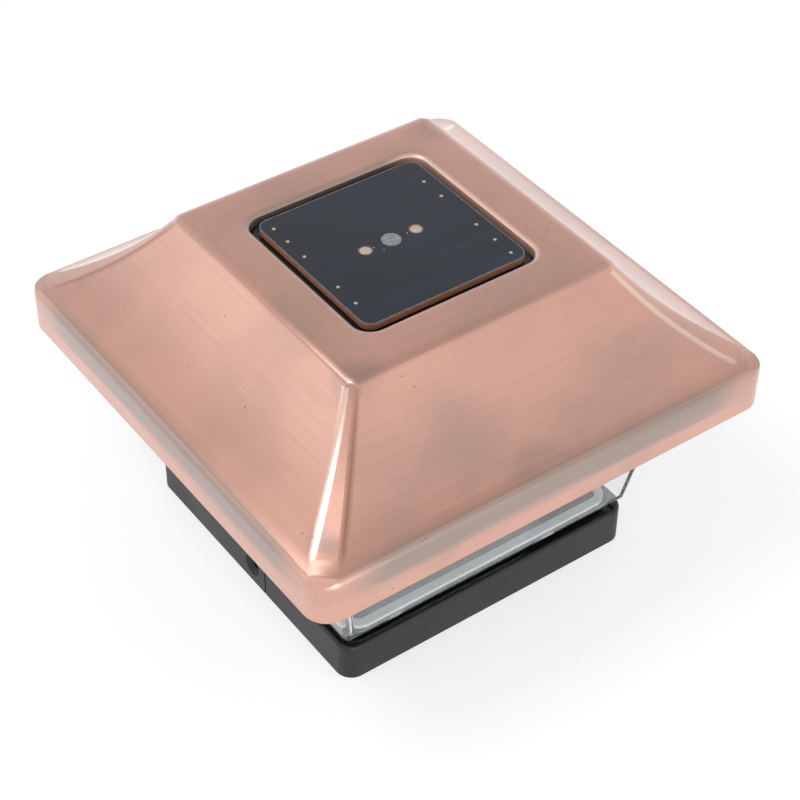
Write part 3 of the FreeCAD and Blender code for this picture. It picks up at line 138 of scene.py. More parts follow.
# %% [markdown]
# A CAD node comes in as loose triangles, so light breaks at each of them. A copy with its doubles merged
# and its normals smoothed up to an angle looks like the real moulding or pressing. Merging moves no
# point by more than two micrometres.

# %% Copy a node as a piece
def only(piece):
    """Select one object alone and make it active."""
    bpy.ops.object.select_all(action="DESELECT")
    piece.select_set(True)
    bpy.context.view_layer.objects.active = piece


def settle(piece, material, slot, body, *nodes):
    """Give a finished piece its material, the body that it rides on and its nodes. The slot is not used.
    """
    piece.data.materials.clear()
    piece.data.materials.append(material)
    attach(piece, body)
    if nodes:
        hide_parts(*nodes)
    return piece


def skin(node, name, material, slot, angle=25):
    """A merged and smoothed copy of a CAD node, which stands for it."""
    piece = bpy.data.objects.new(name, frame["nodes"][node].data.copy())
    scene.collection.objects.link(piece)
    only(piece)
    bpy.ops.mesh.customdata_custom_splitnormals_clear()
    bpy.ops.object.mode_set(mode="EDIT")
    bpy.ops.mesh.select_all(action="SELECT")
    bpy.ops.mesh.remove_doubles(threshold=0.002 * MM)
    bpy.ops.object.mode_set(mode="OBJECT")
    bpy.ops.object.shade_smooth_by_angle(angle=math.radians(angle))
    settle(piece, material, slot, body_of_node[node], node)
    print("%s: %d faces" % (name, len(piece.data.polygons)))
    return piece


# %% [markdown]
# ## Brushed copper plate
# The cap is thin steel, pressed, plated with copper, brushed with a fine belt and lightly antiqued. Its
# finish could be painted as a picture, but then it would be right at one size only. It is built instead
# from a few patterns with real sizes, each made by a function of its own: the lines of the belt, the
# antique tone, pits, the rim and the lip. The lines have to follow each side, so the piece gets a UV map
# of its own: u runs along the rim and v climbs the slope.

# %% Lines of the belt
def belt_lines(tree):
    """Noise drawn out along the brushing: the fine lines, and the wider drags of the belt."""
    weave = add(tree, "UVMap", uv_map="brushing").outputs["UV"]
    # brush lines 0.35 mm apart and about 25 mm long
    stretch = add(tree, "Mapping", {"Vector": weave, "Scale": (per(25), per(0.35), 1)})
    lines = add(tree, "TexNoise", {"Vector": stretch.outputs[0], "Scale": 1.0, "Detail": 3.0,
                                   "Roughness": 0.6})
    # drags of the belt, 2 mm apart
    wide = add(tree, "Mapping", {"Vector": weave, "Scale": (per(60), per(2.2), 1)})
    drags = add(tree, "TexNoise", {"Vector": wide.outputs[0], "Scale": 1.0, "Detail": 2.0})
    return lines.outputs["Fac"], drags.outputs["Fac"]


print("lines per millimetre: %.1f" % (per(0.35) * MM))

# %% [markdown]
# Antique tone is a brown stain that the belt rubs off again, so what is left of it lies in soft spots. A
# noise alone would put them anywhere. Each spot is a distance from a chosen place instead, and a noise
# moves the place about, so that its outline wanders.

# %% Antique tone
# soft smudges of antique tone: place in mm, size along X and along Y in mm, strength
SMUDGES = [((-22, -60, 83), 19, 11, 0.5), ((-3, -69, 76), 11, 6, 0.45), ((38, -60, 83), 26, 8, 0.42),
           ((18, -64, 79), 22, 8, 0.3), ((-46, -66, 78), 12, 8, 0.22), ((-60, 23, 82), 9, 20, 0.22),
           ((-58, -14, 84), 8, 18, 0.2), ((-66, -65, 78), 5, 5, 0.85), ((60, 20, 78), 9, 20, 0.4),
           ((62, -34, 79), 8, 14, 0.3), ((10, 60, 79), 22, 9, 0.4), ((-40, -40, 102), 7, 7, 0.6),
           ((38, 36, 102), 6, 6, 0.4), ((-62, 58, 78), 8, 8, 0.4)]
WANDER = 12 * MM                    # the noise moves the outline of a smudge about within this width


def antique_tone(tree, place):
    """How much antique tone is left: faint clouds 30 mm across all over, and the smudges."""
    clouds = add(tree, "TexNoise", {"Vector": place, "Scale": per(30), "Detail": 2.0,
                                    "Roughness": 0.4})
    tone = add(tree, "MapRange", {"Value": clouds.outputs["Fac"], "From Min": 0.42, "From Max": 0.72,
                                  "To Min": 0.0, "To Max": 0.3},
               interpolation_type="SMOOTHSTEP").outputs[0]
    wander = add(tree, "TexNoise", {"Vector": place, "Scale": per(11), "Detail": 3.0})
    shift = add(tree, "VectorMath", {0: wander.outputs["Color"], 1: (WANDER, WANDER, WANDER)},
                operation="MULTIPLY")
    moved = add(tree, "VectorMath", {0: place, 1: shift.outputs[0]})
    half_way = WANDER / 2
    for (x, y, z), size_x, size_y, strength in SMUDGES:
        centre = (x * MM + half_way, y * MM + half_way, z * MM + half_way)
        middle = add(tree, "VectorMath", {0: moved.outputs[0], 1: centre}, operation="SUBTRACT")
        shrink = (per(size_x), per(size_y), per(max(size_x, size_y)))
        scaled = add(tree, "VectorMath", {0: middle.outputs[0], 1: shrink}, operation="MULTIPLY")
        far = add(tree, "VectorMath", {0: scaled.outputs[0]}, operation="LENGTH")
        spot = add(tree, "MapRange", {"Value": far.outputs["Value"], "From Min": 0.0, "From Max": 1.5,
                                      "To Min": strength, "To Max": 0.0},
                   interpolation_type="SMOOTHSTEP")
        tone = add(tree, "Math", {0: tone, 1: spot.outputs[0]}, operation="MAXIMUM").outputs[0]
    return tone


print("smudges:", len(SMUDGES))

# %% [markdown]
# A pit is a speck of dirt that the plating went over. Voronoi cells give round specks at irregular
# places. Only one cell in ten gets one, and only where a slow noise is high, so the pits come in groups.

# %% Pits
PIT_SPACING = 1.2                   # mm from one cell of the pattern to the next


def pit_mask(tree, place):
    """1 in a pit, which is about 0.4 mm wide, and 0 elsewhere."""
    cells = add(tree, "TexVoronoi", {"Vector": place, "Scale": per(PIT_SPACING), "Randomness": 1.0})
    near = add(tree, "MapRange", {"Value": cells.outputs["Distance"], "From Min": 0.12,
                                  "From Max": 0.2, "To Min": 1.0, "To Max": 0.0})
    chance = add(tree, "SeparateColor", {"Color": cells.outputs["Color"]})
    chosen = add(tree, "Math", {0: chance.outputs[0], 1: 0.9}, operation="GREATER_THAN")
    group = add(tree, "TexNoise", {"Vector": place, "Scale": per(13), "Detail": 1.0})
    grouped = add(tree, "MapRange", {"Value": group.outputs["Fac"], "From Min": 0.64,
                                     "From Max": 0.66})
    pit = add(tree, "Math", {0: near.outputs[0], 1: chosen.outputs[0]}, operation="MULTIPLY")
    return add(tree, "Math", {0: pit.outputs[0], 1: grouped.outputs[0]},
               operation="MULTIPLY").outputs[0]


print("cells of the pit pattern: %.1f mm" % PIT_SPACING)

# %% [markdown]
# A grey band is painted where the roof bends down to the rim: painted shade and painted reflection,
# which also dims the highlight of the bend. It follows the height on the cap, its lower edge is ragged,
# and it is weaker towards the corners.

# %% Painted shade on the rim
RIM_SHADE_LOW, RIM_SHADE_HIGH = (62.8 * MM, 68.0 * MM), (72.4 * MM, 74.4 * MM)     # where it comes in and goes out
RAGGED = 1.2 * MM


def painted_rim_shade(tree, place, drags):
    """How much of the painted grey shade and reflection on the rim shows."""
    height = add(tree, "SeparateXYZ", {"Vector": place})
    ragged = add(tree, "MapRange", {"Value": drags, "From Min": 0.3, "From Max": 0.7,
                                    "To Min": -RAGGED, "To Max": RAGGED})
    level = add(tree, "Math", {0: height.outputs["Z"], 1: ragged.outputs[0]}, operation="ADD")
    low = add(tree, "MapRange", {"Value": level.outputs[0], "From Min": RIM_SHADE_LOW[0],
                                 "From Max": RIM_SHADE_LOW[1]}, interpolation_type="SMOOTHSTEP")
    high = add(tree, "MapRange", {"Value": height.outputs["Z"], "From Min": RIM_SHADE_HIGH[0],
                                  "From Max": RIM_SHADE_HIGH[1], "To Min": 1.0, "To Max": 0.0},
               interpolation_type="SMOOTHSTEP")
    band = add(tree, "Math", {0: low.outputs[0], 1: high.outputs[0]}, operation="MULTIPLY")
    sides = add(tree, "VectorMath", {0: place}, operation="ABSOLUTE")
    reach = add(tree, "SeparateXYZ", {"Vector": sides.outputs[0]})
    inner = add(tree, "Math", {0: reach.outputs["X"], 1: reach.outputs["Y"]}, operation="MINIMUM")
    ends = add(tree, "MapRange", {"Value": inner.outputs[0], "From Min": 52 * MM,
                                  "From Max": 69 * MM, "To Min": 0.8, "To Max": 0.12},
               interpolation_type="SMOOTHSTEP")
    return add(tree, "Math", {0: band.outputs[0], 1: ends.outputs[0]}, operation="MULTIPLY").outputs[0]


print("band from %.1f to %.1f mm up" % (RIM_SHADE_LOW[0] / MM, RIM_SHADE_HIGH[1] / MM))

# %% [markdown]
# The rolled lip of the opening is made less metallic, with a painted dark grey reflection on three sides
# and a painted bright highlight on the fourth. The distance from the centres of its corner arcs makes
# the mask, so that it follows the round corners. The distance from the middle of the cap would be
# simpler, but would leave grey triangles in them.

# %% The lip
WINDOW_HALF, WINDOW_CORNER = 29.0, 5.2      # opening of the cap in the CAD model, mm
LIP_WIDTH = 2.2                             # mm that the painted lip colour and the lower metal reach out over the top


def lip_mask_and_painted_light(tree, place):
    """How much of the lip is less metallic and painted, and its colour: painted dark grey reflection,
    painted bright highlight towards +X.
    """
    sides = add(tree, "VectorMath", {0: place}, operation="ABSOLUTE")
    flat = add(tree, "VectorMath", {0: sides.outputs[0], 1: (1, 1, 0)}, operation="MULTIPLY")
    arc = (WINDOW_HALF - WINDOW_CORNER) * MM
    past = add(tree, "VectorMath", {0: flat.outputs[0], 1: (arc, arc, 0)}, operation="SUBTRACT")
    kept = add(tree, "VectorMath", {0: past.outputs[0], 1: (0, 0, 0)}, operation="MAXIMUM")
    gone = add(tree, "VectorMath", {0: kept.outputs[0]}, operation="LENGTH")
    lip = add(tree, "MapRange", {"Value": gone.outputs["Value"], "From Min": WINDOW_CORNER * MM,
                                 "From Max": (WINDOW_CORNER + LIP_WIDTH) * MM, "To Min": 0.75,
                                 "To Max": 0.0}, interpolation_type="SMOOTHSTEP")
    across = add(tree, "SeparateXYZ", {"Vector": place})
    side = add(tree, "MapRange", {"Value": across.outputs["X"], "From Min": 18 * MM,
                                  "From Max": 26 * MM})
    # painted light on the lip: a dark grey reflection on three sides, a bright highlight on the side
    # towards +X
    tone = add(tree, "Mix", {0: side.outputs[0], 6: linear("77827E"), 7: linear("FBD9C6")},
               data_type="RGBA")
    return lip.outputs[0], tone.outputs[2]


print("opening %.1f mm wide" % (2 * WINDOW_HALF))

# %% [markdown]
# The masks are laid over the copper one after the other, from the widest to the smallest. The metal
# keeps its default index of refraction. A lacquer lies over it as a coat, because it turns pale where
# the eye looks along it, as a real lacquered plate does.

# %% The copper finish
def brushed_copper():
    """Copper plate with belt lines, antique tone and pits, painted shade and highlight on the hips,
    painted shade on the rim, and painted reflection and highlight on the lip.
    """
    material, tree, out, place = finish_named("brushed_copper_plate")
    lines, drags = belt_lines(tree)
    lip, lip_painted_light = lip_mask_and_painted_light(tree, place)
    # a number on the points of the hips: above 0 is painted shade, below 0 is painted highlight
    hip_shade_and_highlight = add(tree, "Attribute", attribute_name="hip_shade_and_highlight")
    dark = add(tree, "Math", {0: hip_shade_and_highlight.outputs["Fac"], 1: 0.0}, operation="MAXIMUM")
    flipped = add(tree, "Math", {0: hip_shade_and_highlight.outputs["Fac"], 1: -1.0}, operation="MULTIPLY")
    bright = add(tree, "Math", {0: flipped.outputs[0], 1: 0.0}, operation="MAXIMUM")
    hatched = add(tree, "MapRange", {"Value": lines, "From Min": 0.38, "From Max": 0.7,
                                     "To Min": 0.0, "To Max": 0.22})
    copper = add(tree, "Mix", {0: drags, 6: linear("E0AE9D"), 7: linear("DBA592")}, data_type="RGBA")
    colour = copper.outputs[2]
    # dark and bright are painted shade and painted highlight on the hips, the grey of the rim is painted
    # shade and reflection, the lip colour is painted reflection and highlight
    for share, tone in ((hatched.outputs[0], linear("B0867A")),
                        (antique_tone(tree, place), linear("A28880")),
                        (dark.outputs[0], linear("B27A58")), (bright.outputs[0], linear("FBDDCE")),
                        (painted_rim_shade(tree, place, drags), linear("928981")), (lip, lip_painted_light),
                        (pit_mask(tree, place), linear("4A362C"))):
        colour = add(tree, "Mix", {0: share, 6: colour, 7: tone}, data_type="RGBA").outputs[2]
    satin = add(tree, "MapRange", {"Value": lines, "From Min": 0.3, "From Max": 0.7,
                                   "To Min": 0.34, "To Max": 0.46})
    smoother_at_highlight = add(tree, "MapRange", {"Value": bright.outputs[0], "To Min": 1.0, "To Max": 0.55})
    rough = add(tree, "Math", {0: satin.outputs[0], 1: smoother_at_highlight.outputs[0]}, operation="MULTIPLY")
    dulled = add(tree, "MapRange", {"Value": lip, "To Min": 1.0, "To Max": 0.35})
    bump = add(tree, "Bump", {"Height": lines, "Strength": 0.15, "Distance": 0.04 * MM})
    shader = add(tree, "BsdfPrincipled", {"Base Color": colour, "Metallic": dulled.outputs[0],
                                          "Roughness": rough.outputs[0], "Coat Weight": 1.0,
                                          "Coat Roughness": 0.22, "Coat IOR": 1.5,
                                          "Normal": bump.outputs[0]})
    tree.links.new(shader.outputs[0], out.inputs["Surface"])
    return material


copper_finish = brushed_copper()
print(copper_finish.name, "has", len(copper_finish.node_tree.nodes), "nodes")

# %% [markdown]
# ## The pressed cap
# The press leaves the lip of the opening and the hips rounder than the CAD solid has them. The lip is
# already an arc, so its points only have to move out to a wider one, which keeps the mesh as it is.

# %% The cap and its lip
LIP_INWARD = 0.3                    # the dressed lip reaches this far into the opening, mm
LIP_DEPTH, SHOULDER_DEPTH = 3.6, 3.5        # how far down the wall of the opening is moved, mm


def widen_lip(piece, roll=1.5, wider=2.6):
    """Let the lip of the opening roll over in a wider arc, as the sheet does. Lengths in mm."""
    top = max(vertex.co.z for vertex in piece.data.vertices) / MM
    centre = WINDOW_HALF - WINDOW_CORNER
    squeeze = (SHOULDER_DEPTH - wider) / (SHOULDER_DEPTH - roll)
    moved = 0
    for vertex in piece.data.vertices:
        x, y, depth = abs(vertex.co.x) / MM, abs(vertex.co.y) / MM, top - vertex.co.z / MM
        past = Vector((max(x - centre, 0), max(y - centre, 0)))
        out_by = past.length - WINDOW_CORNER
        u, v = (roll - out_by) / roll, (roll - depth) / roll
        if depth < roll + 0.01 and abs(math.hypot(u, v) - 1) < 0.03 and u > -0.01:
            fresh, low = wider - LIP_INWARD - wider * u, wider - wider * v
        elif abs(out_by) < 0.02 and depth < LIP_DEPTH:
            fresh, low = -LIP_INWARD, wider + (depth - roll) * squeeze
        else:
            continue
        step = past.normalized() * (fresh - out_by) * MM
        vertex.co.x += math.copysign(step.x, vertex.co.x)
        vertex.co.y += math.copysign(step.y, vertex.co.y)
        vertex.co.z = (top - low) * MM
        moved += 1
    print("lip points moved:", moved)


cap = skin("cap_shell", "pressed_cap", copper_finish, "copper_plate", angle=24)
widen_lip(cap)

# %% [markdown]
# A hip is the sharp edge between a slope and its corner facet. The edges are found by their place and
# by the angle between their faces, and a bevel rounds them. Joining the triangles to quads first keeps
# the bevel even.

# %% Round the hips
HIP_LOW, HIP_HIGH = 74.2 * MM, 100.3 * MM       # the rounding stops short of the rim and of the top


def on_a_hip(edge):
    """True for an edge of the outer skin between a slope and its hip facet."""
    spot = (edge.verts[0].co + edge.verts[1].co) / 2
    if not HIP_LOW < spot.z < HIP_HIGH or len(edge.link_faces) != 2:
        return False
    if abs(abs(spot.x) - abs(spot.y)) > 9 * MM or edge.calc_face_angle() < math.radians(10):
        return False
    outer = all(face.normal.z > 0.2 for face in edge.link_faces)
    climbs = abs(edge.verts[0].co.z - edge.verts[1].co.z) > 0.3 * MM
    return outer and climbs


only(cap)
bpy.ops.object.mode_set(mode="EDIT")
bpy.ops.mesh.select_mode(type="EDGE")
bpy.ops.mesh.select_all(action="SELECT")
bpy.ops.mesh.tris_convert_to_quads(face_threshold=math.radians(3), shape_threshold=math.radians(180))
bpy.ops.mesh.select_all(action="DESELECT")
work = bmesh.from_edit_mesh(cap.data)
hips = [edge for edge in work.edges if on_a_hip(edge)]
for edge in hips:
    edge.select = True
bmesh.update_edit_mesh(cap.data)
print("hip edges:", len(hips), "length %.1f mm" % (sum(edge.calc_length() for edge in hips) / MM))
bpy.ops.mesh.bevel(offset=1.3 * MM, segments=4, profile=0.5, affect="EDGES")

# %% [markdown]
# Each hip gets a painted shade line on one side and a painted highlight on the other. The material can't
# know which is which, so each point of the rounding gets a number for it to read: above 0 painted shade,
# below 0 painted highlight, full on the middle row, less on the rows beside it.

# %% Mark painted shade and highlight on the hips
# painted shade on one side of each hip and painted highlight on the other, on the middle row and beside
# it
SHADE_MIDDLE, SHADE_BESIDE = 0.8, 0.12
HIGHLIGHT_MIDDLE, HIGHLIGHT_BESIDE = -1.0, -0.65
work = bmesh.from_edit_mesh(cap.data)
mark = work.verts.layers.float.new("hip_shade_and_highlight")
inner = {vertex for vertex in work.verts
         if vertex.link_faces and all(face.select for face in vertex.link_faces)}
for vertex in inner:
    turn = math.degrees(math.atan2(vertex.co.y, vertex.co.x)) % 90 - 45
    beside = any(edge.other_vert(vertex) not in inner for edge in vertex.link_edges)
    if turn > 0:
        vertex[mark] = SHADE_BESIDE if beside else SHADE_MIDDLE
    else:
        vertex[mark] = HIGHLIGHT_BESIDE if beside else HIGHLIGHT_MIDDLE
bmesh.update_edit_mesh(cap.data)
bpy.ops.object.mode_set(mode="OBJECT")
bpy.ops.object.shade_smooth_by_angle(angle=math.radians(24))
print("crease points:", sum(1 for item in cap.data.attributes["hip_shade_and_highlight"].data if item.value))

# %% [markdown]
# The UV map for the belt lines is worked out from the normals, because each side is brushed along its
# own rim. On the hip facets, where the normal lies between two sides, the place decides.

# %% The brushing map
def brushing_map(piece):
    """Lay u along the rim and v up the slope, side by side."""
    layer = piece.data.uv_layers.new(name="brushing")
    for face in piece.data.polygons:
        sideways = abs(face.normal.x) > abs(face.normal.y)
        if abs(abs(face.normal.x) - abs(face.normal.y)) < 0.02:
            sideways = abs(face.center.x) > abs(face.center.y)
        for loop in face.loop_indices:
            spot = piece.data.vertices[piece.data.loops[loop].vertex_index].co
            along, out_by = (spot.y, abs(spot.x)) if sideways else (spot.x, abs(spot.y))
            layer.data[loop].uv = (along, spot.z - out_by)
    return layer


print("UV map:", brushing_map(cap).name)

# %% [markdown]
# ## Clear acrylic
# The dish is moulded in clear acrylic. Its index of refraction is 1.49, so its edges gather light and
# look blue-grey, while its walls nearly vanish.

# %% The acrylic dish
def clear_acrylic():
    """Clear acrylic with faint flow lines."""
    material, tree, out, place = finish_named("clear_moulded_acrylic")
    # flow lines of the moulding, 12 mm apart, barely there
    flow = add(tree, "TexNoise", {"Vector": place, "Scale": per(12), "Detail": 1.0})
    bump = add(tree, "Bump", {"Height": flow.outputs["Fac"], "Strength": 0.05, "Distance": 0.2 * MM})
    shader = add(tree, "BsdfPrincipled", {"Base Color": linear("FBFDFE"), "Roughness": 0.02,
                                          "IOR": 1.49, "Transmission Weight": 1.0,
                                          "Normal": bump.outputs[0]})
    # a thin clear wall casts next to no shadow, so the light of the lamps goes straight through
    rays = add(tree, "LightPath")
    clear = add(tree, "BsdfTransparent", {"Color": linear("FAFCFD")})
    whole = add(tree, "MixShader", {0: rays.outputs["Is Shadow Ray"], 1: shader.outputs[0],
                                    2: clear.outputs[0]})
    tree.links.new(whole.outputs[0], out.inputs["Surface"])
    return material


acrylic = clear_acrylic()
print(acrylic.name, "lets shadow rays through")
skin("lens", "clear_dish", acrylic, "clear_acrylic", angle=28)

# %% [markdown]
# ## Moulded plastics
# Black ABS with a fine spark texture makes up the base, the liner, the tray and the battery bay. White
# ABS makes the core that the light shines out of. One function makes both, because the process is the
# same: the grain of the steel tool gives a satin skin, and a polished tool gives a glossy one. The base
# is polished from its deck upwards.

# %% ABS finishes
POLISHED_FROM = 12.36 * MM                      # just under the top of the deck


def moulded_abs(name, shade, rough, grain_mm=0.35, polished_above=None):
    """Spark textured ABS, polished above a height where one is given."""
    material, tree, out, place = finish_named(name)
    grain = add(tree, "TexNoise", {"Vector": place, "Scale": per(grain_mm), "Detail": 2.0})
    cloud = add(tree, "TexNoise", {"Vector": place, "Scale": per(22), "Detail": 2.0})
    deeper = [value * 0.78 for value in linear(shade)[:3]] + [1.0]
    colour = add(tree, "Mix", {0: cloud.outputs["Fac"], 6: linear(shade), 7: deeper},
                 data_type="RGBA")
    skin_rough = add(tree, "MapRange", {"Value": cloud.outputs["Fac"], "From Min": 0.3,
                                        "From Max": 0.7, "To Min": rough - 0.04,
                                        "To Max": rough + 0.05}).outputs[0]
    if polished_above is not None:
        height = add(tree, "SeparateXYZ", {"Vector": place})
        gloss = add(tree, "Math", {0: height.outputs["Z"], 1: polished_above},
                    operation="GREATER_THAN")
        skin_rough = add(tree, "Mix", {0: gloss.outputs[0], 2: skin_rough, 3: 0.14},
                         data_type="FLOAT").outputs[0]
    bump = add(tree, "Bump", {"Height": grain.outputs["Fac"], "Strength": 0.16,
                              "Distance": 0.05 * MM})
    shader = add(tree, "BsdfPrincipled", {"Base Color": colour.outputs[2],
                                          "Roughness": skin_rough, "IOR": 1.53,
                                          "Normal": bump.outputs[0]})
    tree.links.new(shader.outputs[0], out.inputs["Surface"])
    return material


black_satin = moulded_abs("black_abs_spark_textured", "0D0E11", 0.44, polished_above=POLISHED_FROM)
black_plain = moulded_abs("black_abs_moulded", "1C1C1E", 0.36)
white_core = moulded_abs("white_abs_moulded", "E4E4E0", 0.4)
skin("base", "post_socket_base", black_satin, "black_abs")
for node, name in (("cap_liner", "liner_plate"), ("panel_tray", "panel_carrier"),
                   ("battery_bay", "battery_holder"), ("battery_door", "battery_hatch"),
                   ("switch_body", "switch_housing"), ("switch_knob", "switch_slider")):
    skin(node, name, black_plain, "black_abs")
skin("light_box", "light_core", white_core, "white_abs")

# %% [markdown]
# ## Silicone and foam
# The seals are white silicone: soft to the eye, with a faint skin sheen and a little light in them. The
# rings behind the panel are black foam with small open cells.

# %% Seals and pads
def silicone():
    """Cured white silicone with a trace of dust."""
    material, tree, out, place = finish_named("white_silicone_cured")
    dust = add(tree, "TexNoise", {"Vector": place, "Scale": per(3), "Detail": 4.0})
    colour = add(tree, "Mix", {0: dust.outputs["Fac"], 6: linear("F2F3F3"), 7: linear("E2E4E5")},
                 data_type="RGBA")
    bump = add(tree, "Bump", {"Height": dust.outputs["Fac"], "Strength": 0.1,
                              "Distance": 0.1 * MM})
    shader = add(tree, "BsdfPrincipled", {"Base Color": colour.outputs[2], "Roughness": 0.48,
                                          "IOR": 1.41, "Subsurface Weight": 0.1,
                                          "Subsurface Scale": 0.5 * MM,
                                          "Normal": bump.outputs[0]})
    tree.links.new(shader.outputs[0], out.inputs["Surface"])
    return material


def foam():
    """Black foam with open cells."""
    material, tree, out, place = finish_named("black_foam_open_cell")
    # cells of the foam, 0.4 mm
    cells = add(tree, "TexVoronoi", {"Vector": place, "Scale": per(0.4)})
    colour = add(tree, "Mix", {0: cells.outputs["Distance"], 6: linear("141415"),
                               7: linear("2E2E30")}, data_type="RGBA")
    bump = add(tree, "Bump", {"Height": cells.outputs["Distance"], "Strength": 0.6,
                              "Distance": 0.2 * MM})
    shader = add(tree, "BsdfPrincipled", {"Base Color": colour.outputs[2], "Roughness": 0.9,
                                          "Normal": bump.outputs[0]})
    tree.links.new(shader.outputs[0], out.inputs["Surface"])
    return material


white_rubber = silicone()
black_foam = foam()
for node, name in (("base_gasket", "floor_seal"), ("lens_seal", "rim_seal"),
                   ("door_seal", "hatch_seal")):
    skin(node, name, white_rubber, "white_silicone")
for node, name in (("cap_gasket", "window_seal"), ("panel_pad", "panel_tape")):
    skin(node, name, black_foam, "black_foam")

# %% [markdown]
# ## The solar panel
# The panel is a small circuit board with cell strips, poured over with clear epoxy. From above it is a
# dark slate with faint blue bands along the strips. At its rim the board shows as a brown edge under a
# thin frame of resin whose pale colour is a painted highlight. The face and the edge are one solid, so
# the faces of the copy are sorted by their place and get two materials.

# %% Panel materials
def cell_resin():
    """Clear epoxy over slate coloured cells with blue bands."""
    material, tree, out, place = finish_named("epoxy_over_solar_cells")
    # bands of the cell strips, 6.5 mm apart, drawn out along X
    stretch = add(tree, "Mapping", {"Vector": place, "Scale": (per(60), per(6.5), 0.0)})
    bands = add(tree, "TexNoise", {"Vector": stretch.outputs[0], "Scale": 1.0, "Detail": 2.0})
    cloud = add(tree, "TexNoise", {"Vector": place, "Scale": per(28), "Detail": 1.5})
    slate = add(tree, "Mix", {0: cloud.outputs["Fac"], 6: linear("101820"), 7: linear("1A2531")},
                data_type="RGBA")
    share = add(tree, "MapRange", {"Value": bands.outputs["Fac"], "From Min": 0.48,
                                   "From Max": 0.72, "To Min": 0.0, "To Max": 0.5})
    blue = add(tree, "Mix", {0: share.outputs[0], 6: slate.outputs[2], 7: linear("1A2A48")},
               data_type="RGBA")
    dust = add(tree, "TexNoise", {"Vector": place, "Scale": per(0.5), "Detail": 3.0})
    rough = add(tree, "MapRange", {"Value": dust.outputs["Fac"], "From Min": 0.3,
                                   "From Max": 0.7, "To Min": 0.16, "To Max": 0.26})
    bump = add(tree, "Bump", {"Height": cloud.outputs["Fac"], "Strength": 0.08,
                              "Distance": 0.3 * MM})
    shader = add(tree, "BsdfPrincipled", {"Base Color": blue.outputs[2],
                                          "Roughness": rough.outputs[0], "IOR": 1.5,
                                          "Normal": bump.outputs[0]})
    tree.links.new(shader.outputs[0], out.inputs["Surface"])
    return material


def board_edge():
    """The sawn edge of a glass board, layer on layer."""
    material, tree, out, place = finish_named("sawn_board_edge")
    # glass layers of the board, 0.2 mm thick
    stretch = add(tree, "Mapping", {"Vector": place, "Scale": (per(3), per(3), per(0.2))})
    layers = add(tree, "TexNoise", {"Vector": stretch.outputs[0], "Scale": 1.0, "Detail": 2.0})
    colour = add(tree, "Mix", {0: layers.outputs["Fac"], 6: linear("C98E6C"),
                               7: linear("85503C")}, data_type="RGBA")
    shader = add(tree, "BsdfPrincipled", {"Base Color": colour.outputs[2], "Roughness": 0.5})
    tree.links.new(shader.outputs[0], out.inputs["Surface"])
    return material


resin = cell_resin()
edge_brown = board_edge()
panel = skin("solar_panel", "solar_panel_board", resin, "panel_face", angle=30)
panel.data.materials.append(edge_brown)
panel_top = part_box("solar_panel")[1].z
for face in panel.data.polygons:
    if abs(face.normal.z) < 0.5 or face.center.z < panel_top - 0.2 * MM:
        face.material_index = 1
print("panel face at %.2f mm" % (panel_top / MM))

# %% [markdown]
# ## Terminals, sensor and vias
# Two solder pads and a round daylight sensor lie in the resin of the panel, and small copper vias join
# the cell strips below it. A pad is one disc whose top is inset three times, so that it has a copper
# ring, a dark gap and a cream middle. The resin ends in a thin raised frame, whose pale colour is a
# painted highlight. The vias are less than a tenth of a millimetre high, so one small dome is modelled
# and then copied to each place.
# One function makes their finishes, a fine grain between two tones.

# %% Finishes of the small parts
def tinned(name, light, dark, rough, grain_mm, metallic=0.0, bump_by=0.3):
    """A fine grained finish between two tones."""
    material, tree, out, place = finish_named(name)
    grain = add(tree, "TexNoise", {"Vector": place, "Scale": per(grain_mm), "Detail": 3.0})
    sharp = add(tree, "MapRange", {"Value": grain.outputs["Fac"], "From Min": 0.38,
                                   "From Max": 0.62})
    colour = add(tree, "Mix", {0: sharp.outputs[0], 6: linear(dark), 7: linear(light)},
                 data_type="RGBA")
    bump = add(tree, "Bump", {"Height": grain.outputs["Fac"], "Strength": bump_by,
                              "Distance": 0.05 * MM})
    shader = add(tree, "BsdfPrincipled", {"Base Color": colour.outputs[2], "Roughness": rough,
                                          "Metallic": metallic, "Normal": bump.outputs[0]})
    tree.links.new(shader.outputs[0], out.inputs["Surface"])
    return material


pad_cream = tinned("cream_solder_tin", "C9C4BA", "A9A49A", 0.35, 0.5)
# the pale colour of the resin rim is a painted highlight along the panel's edge
resin_rim_highlight = tinned("resin_rim_painted_highlight", "74777E", "5C5F66", 0.25, 1.5, bump_by=0.05)
pad_gold = tinned("pale_gold_flash", "F0D2B8", "D8B498", 0.35, 0.4, metallic=1.0)
pad_copper = tinned("bare_copper_etched", "C98A62", "9A5E40", 0.35, 0.4, metallic=1.0)
sensor_grey = tinned("sensor_window_ground", "A4A6AA", "66686D", 0.4, 0.45)
nickel = tinned("nickel_plated_steel", "C6C4BE", "AAA8A2", 0.26, 0.3, metallic=1.0, bump_by=0.08)
zinc = tinned("zinc_plated_steel", "B4B6BA", "92949A", 0.34, 0.4, metallic=1.0, bump_by=0.12)
laminate = tinned("green_glass_laminate", "2E6B45", "245A39", 0.38, 0.6, bump_by=0.15)
part_black = tinned("moulded_chip_epoxy", "26262A", "1C1C1F", 0.5, 0.25, bump_by=0.2)
lead_red = tinned("red_lead_insulation", "B3221C", "A01C17", 0.42, 2.0, bump_by=0.05)
lead_black = tinned("black_lead_insulation", "202022", "19191B", 0.42, 2.0, bump_by=0.05)
led_clear = tinned("warm_led_epoxy", "E9E4C4", "DCD6B2", 0.18, 2.0, bump_by=0.03)

# %% [markdown]
# The board, its parts, the contacts and the leads lie out of sight when the lamp is shut. Their CAD
# shapes are true to the real ones, so smoothed copies with their own finishes are enough.

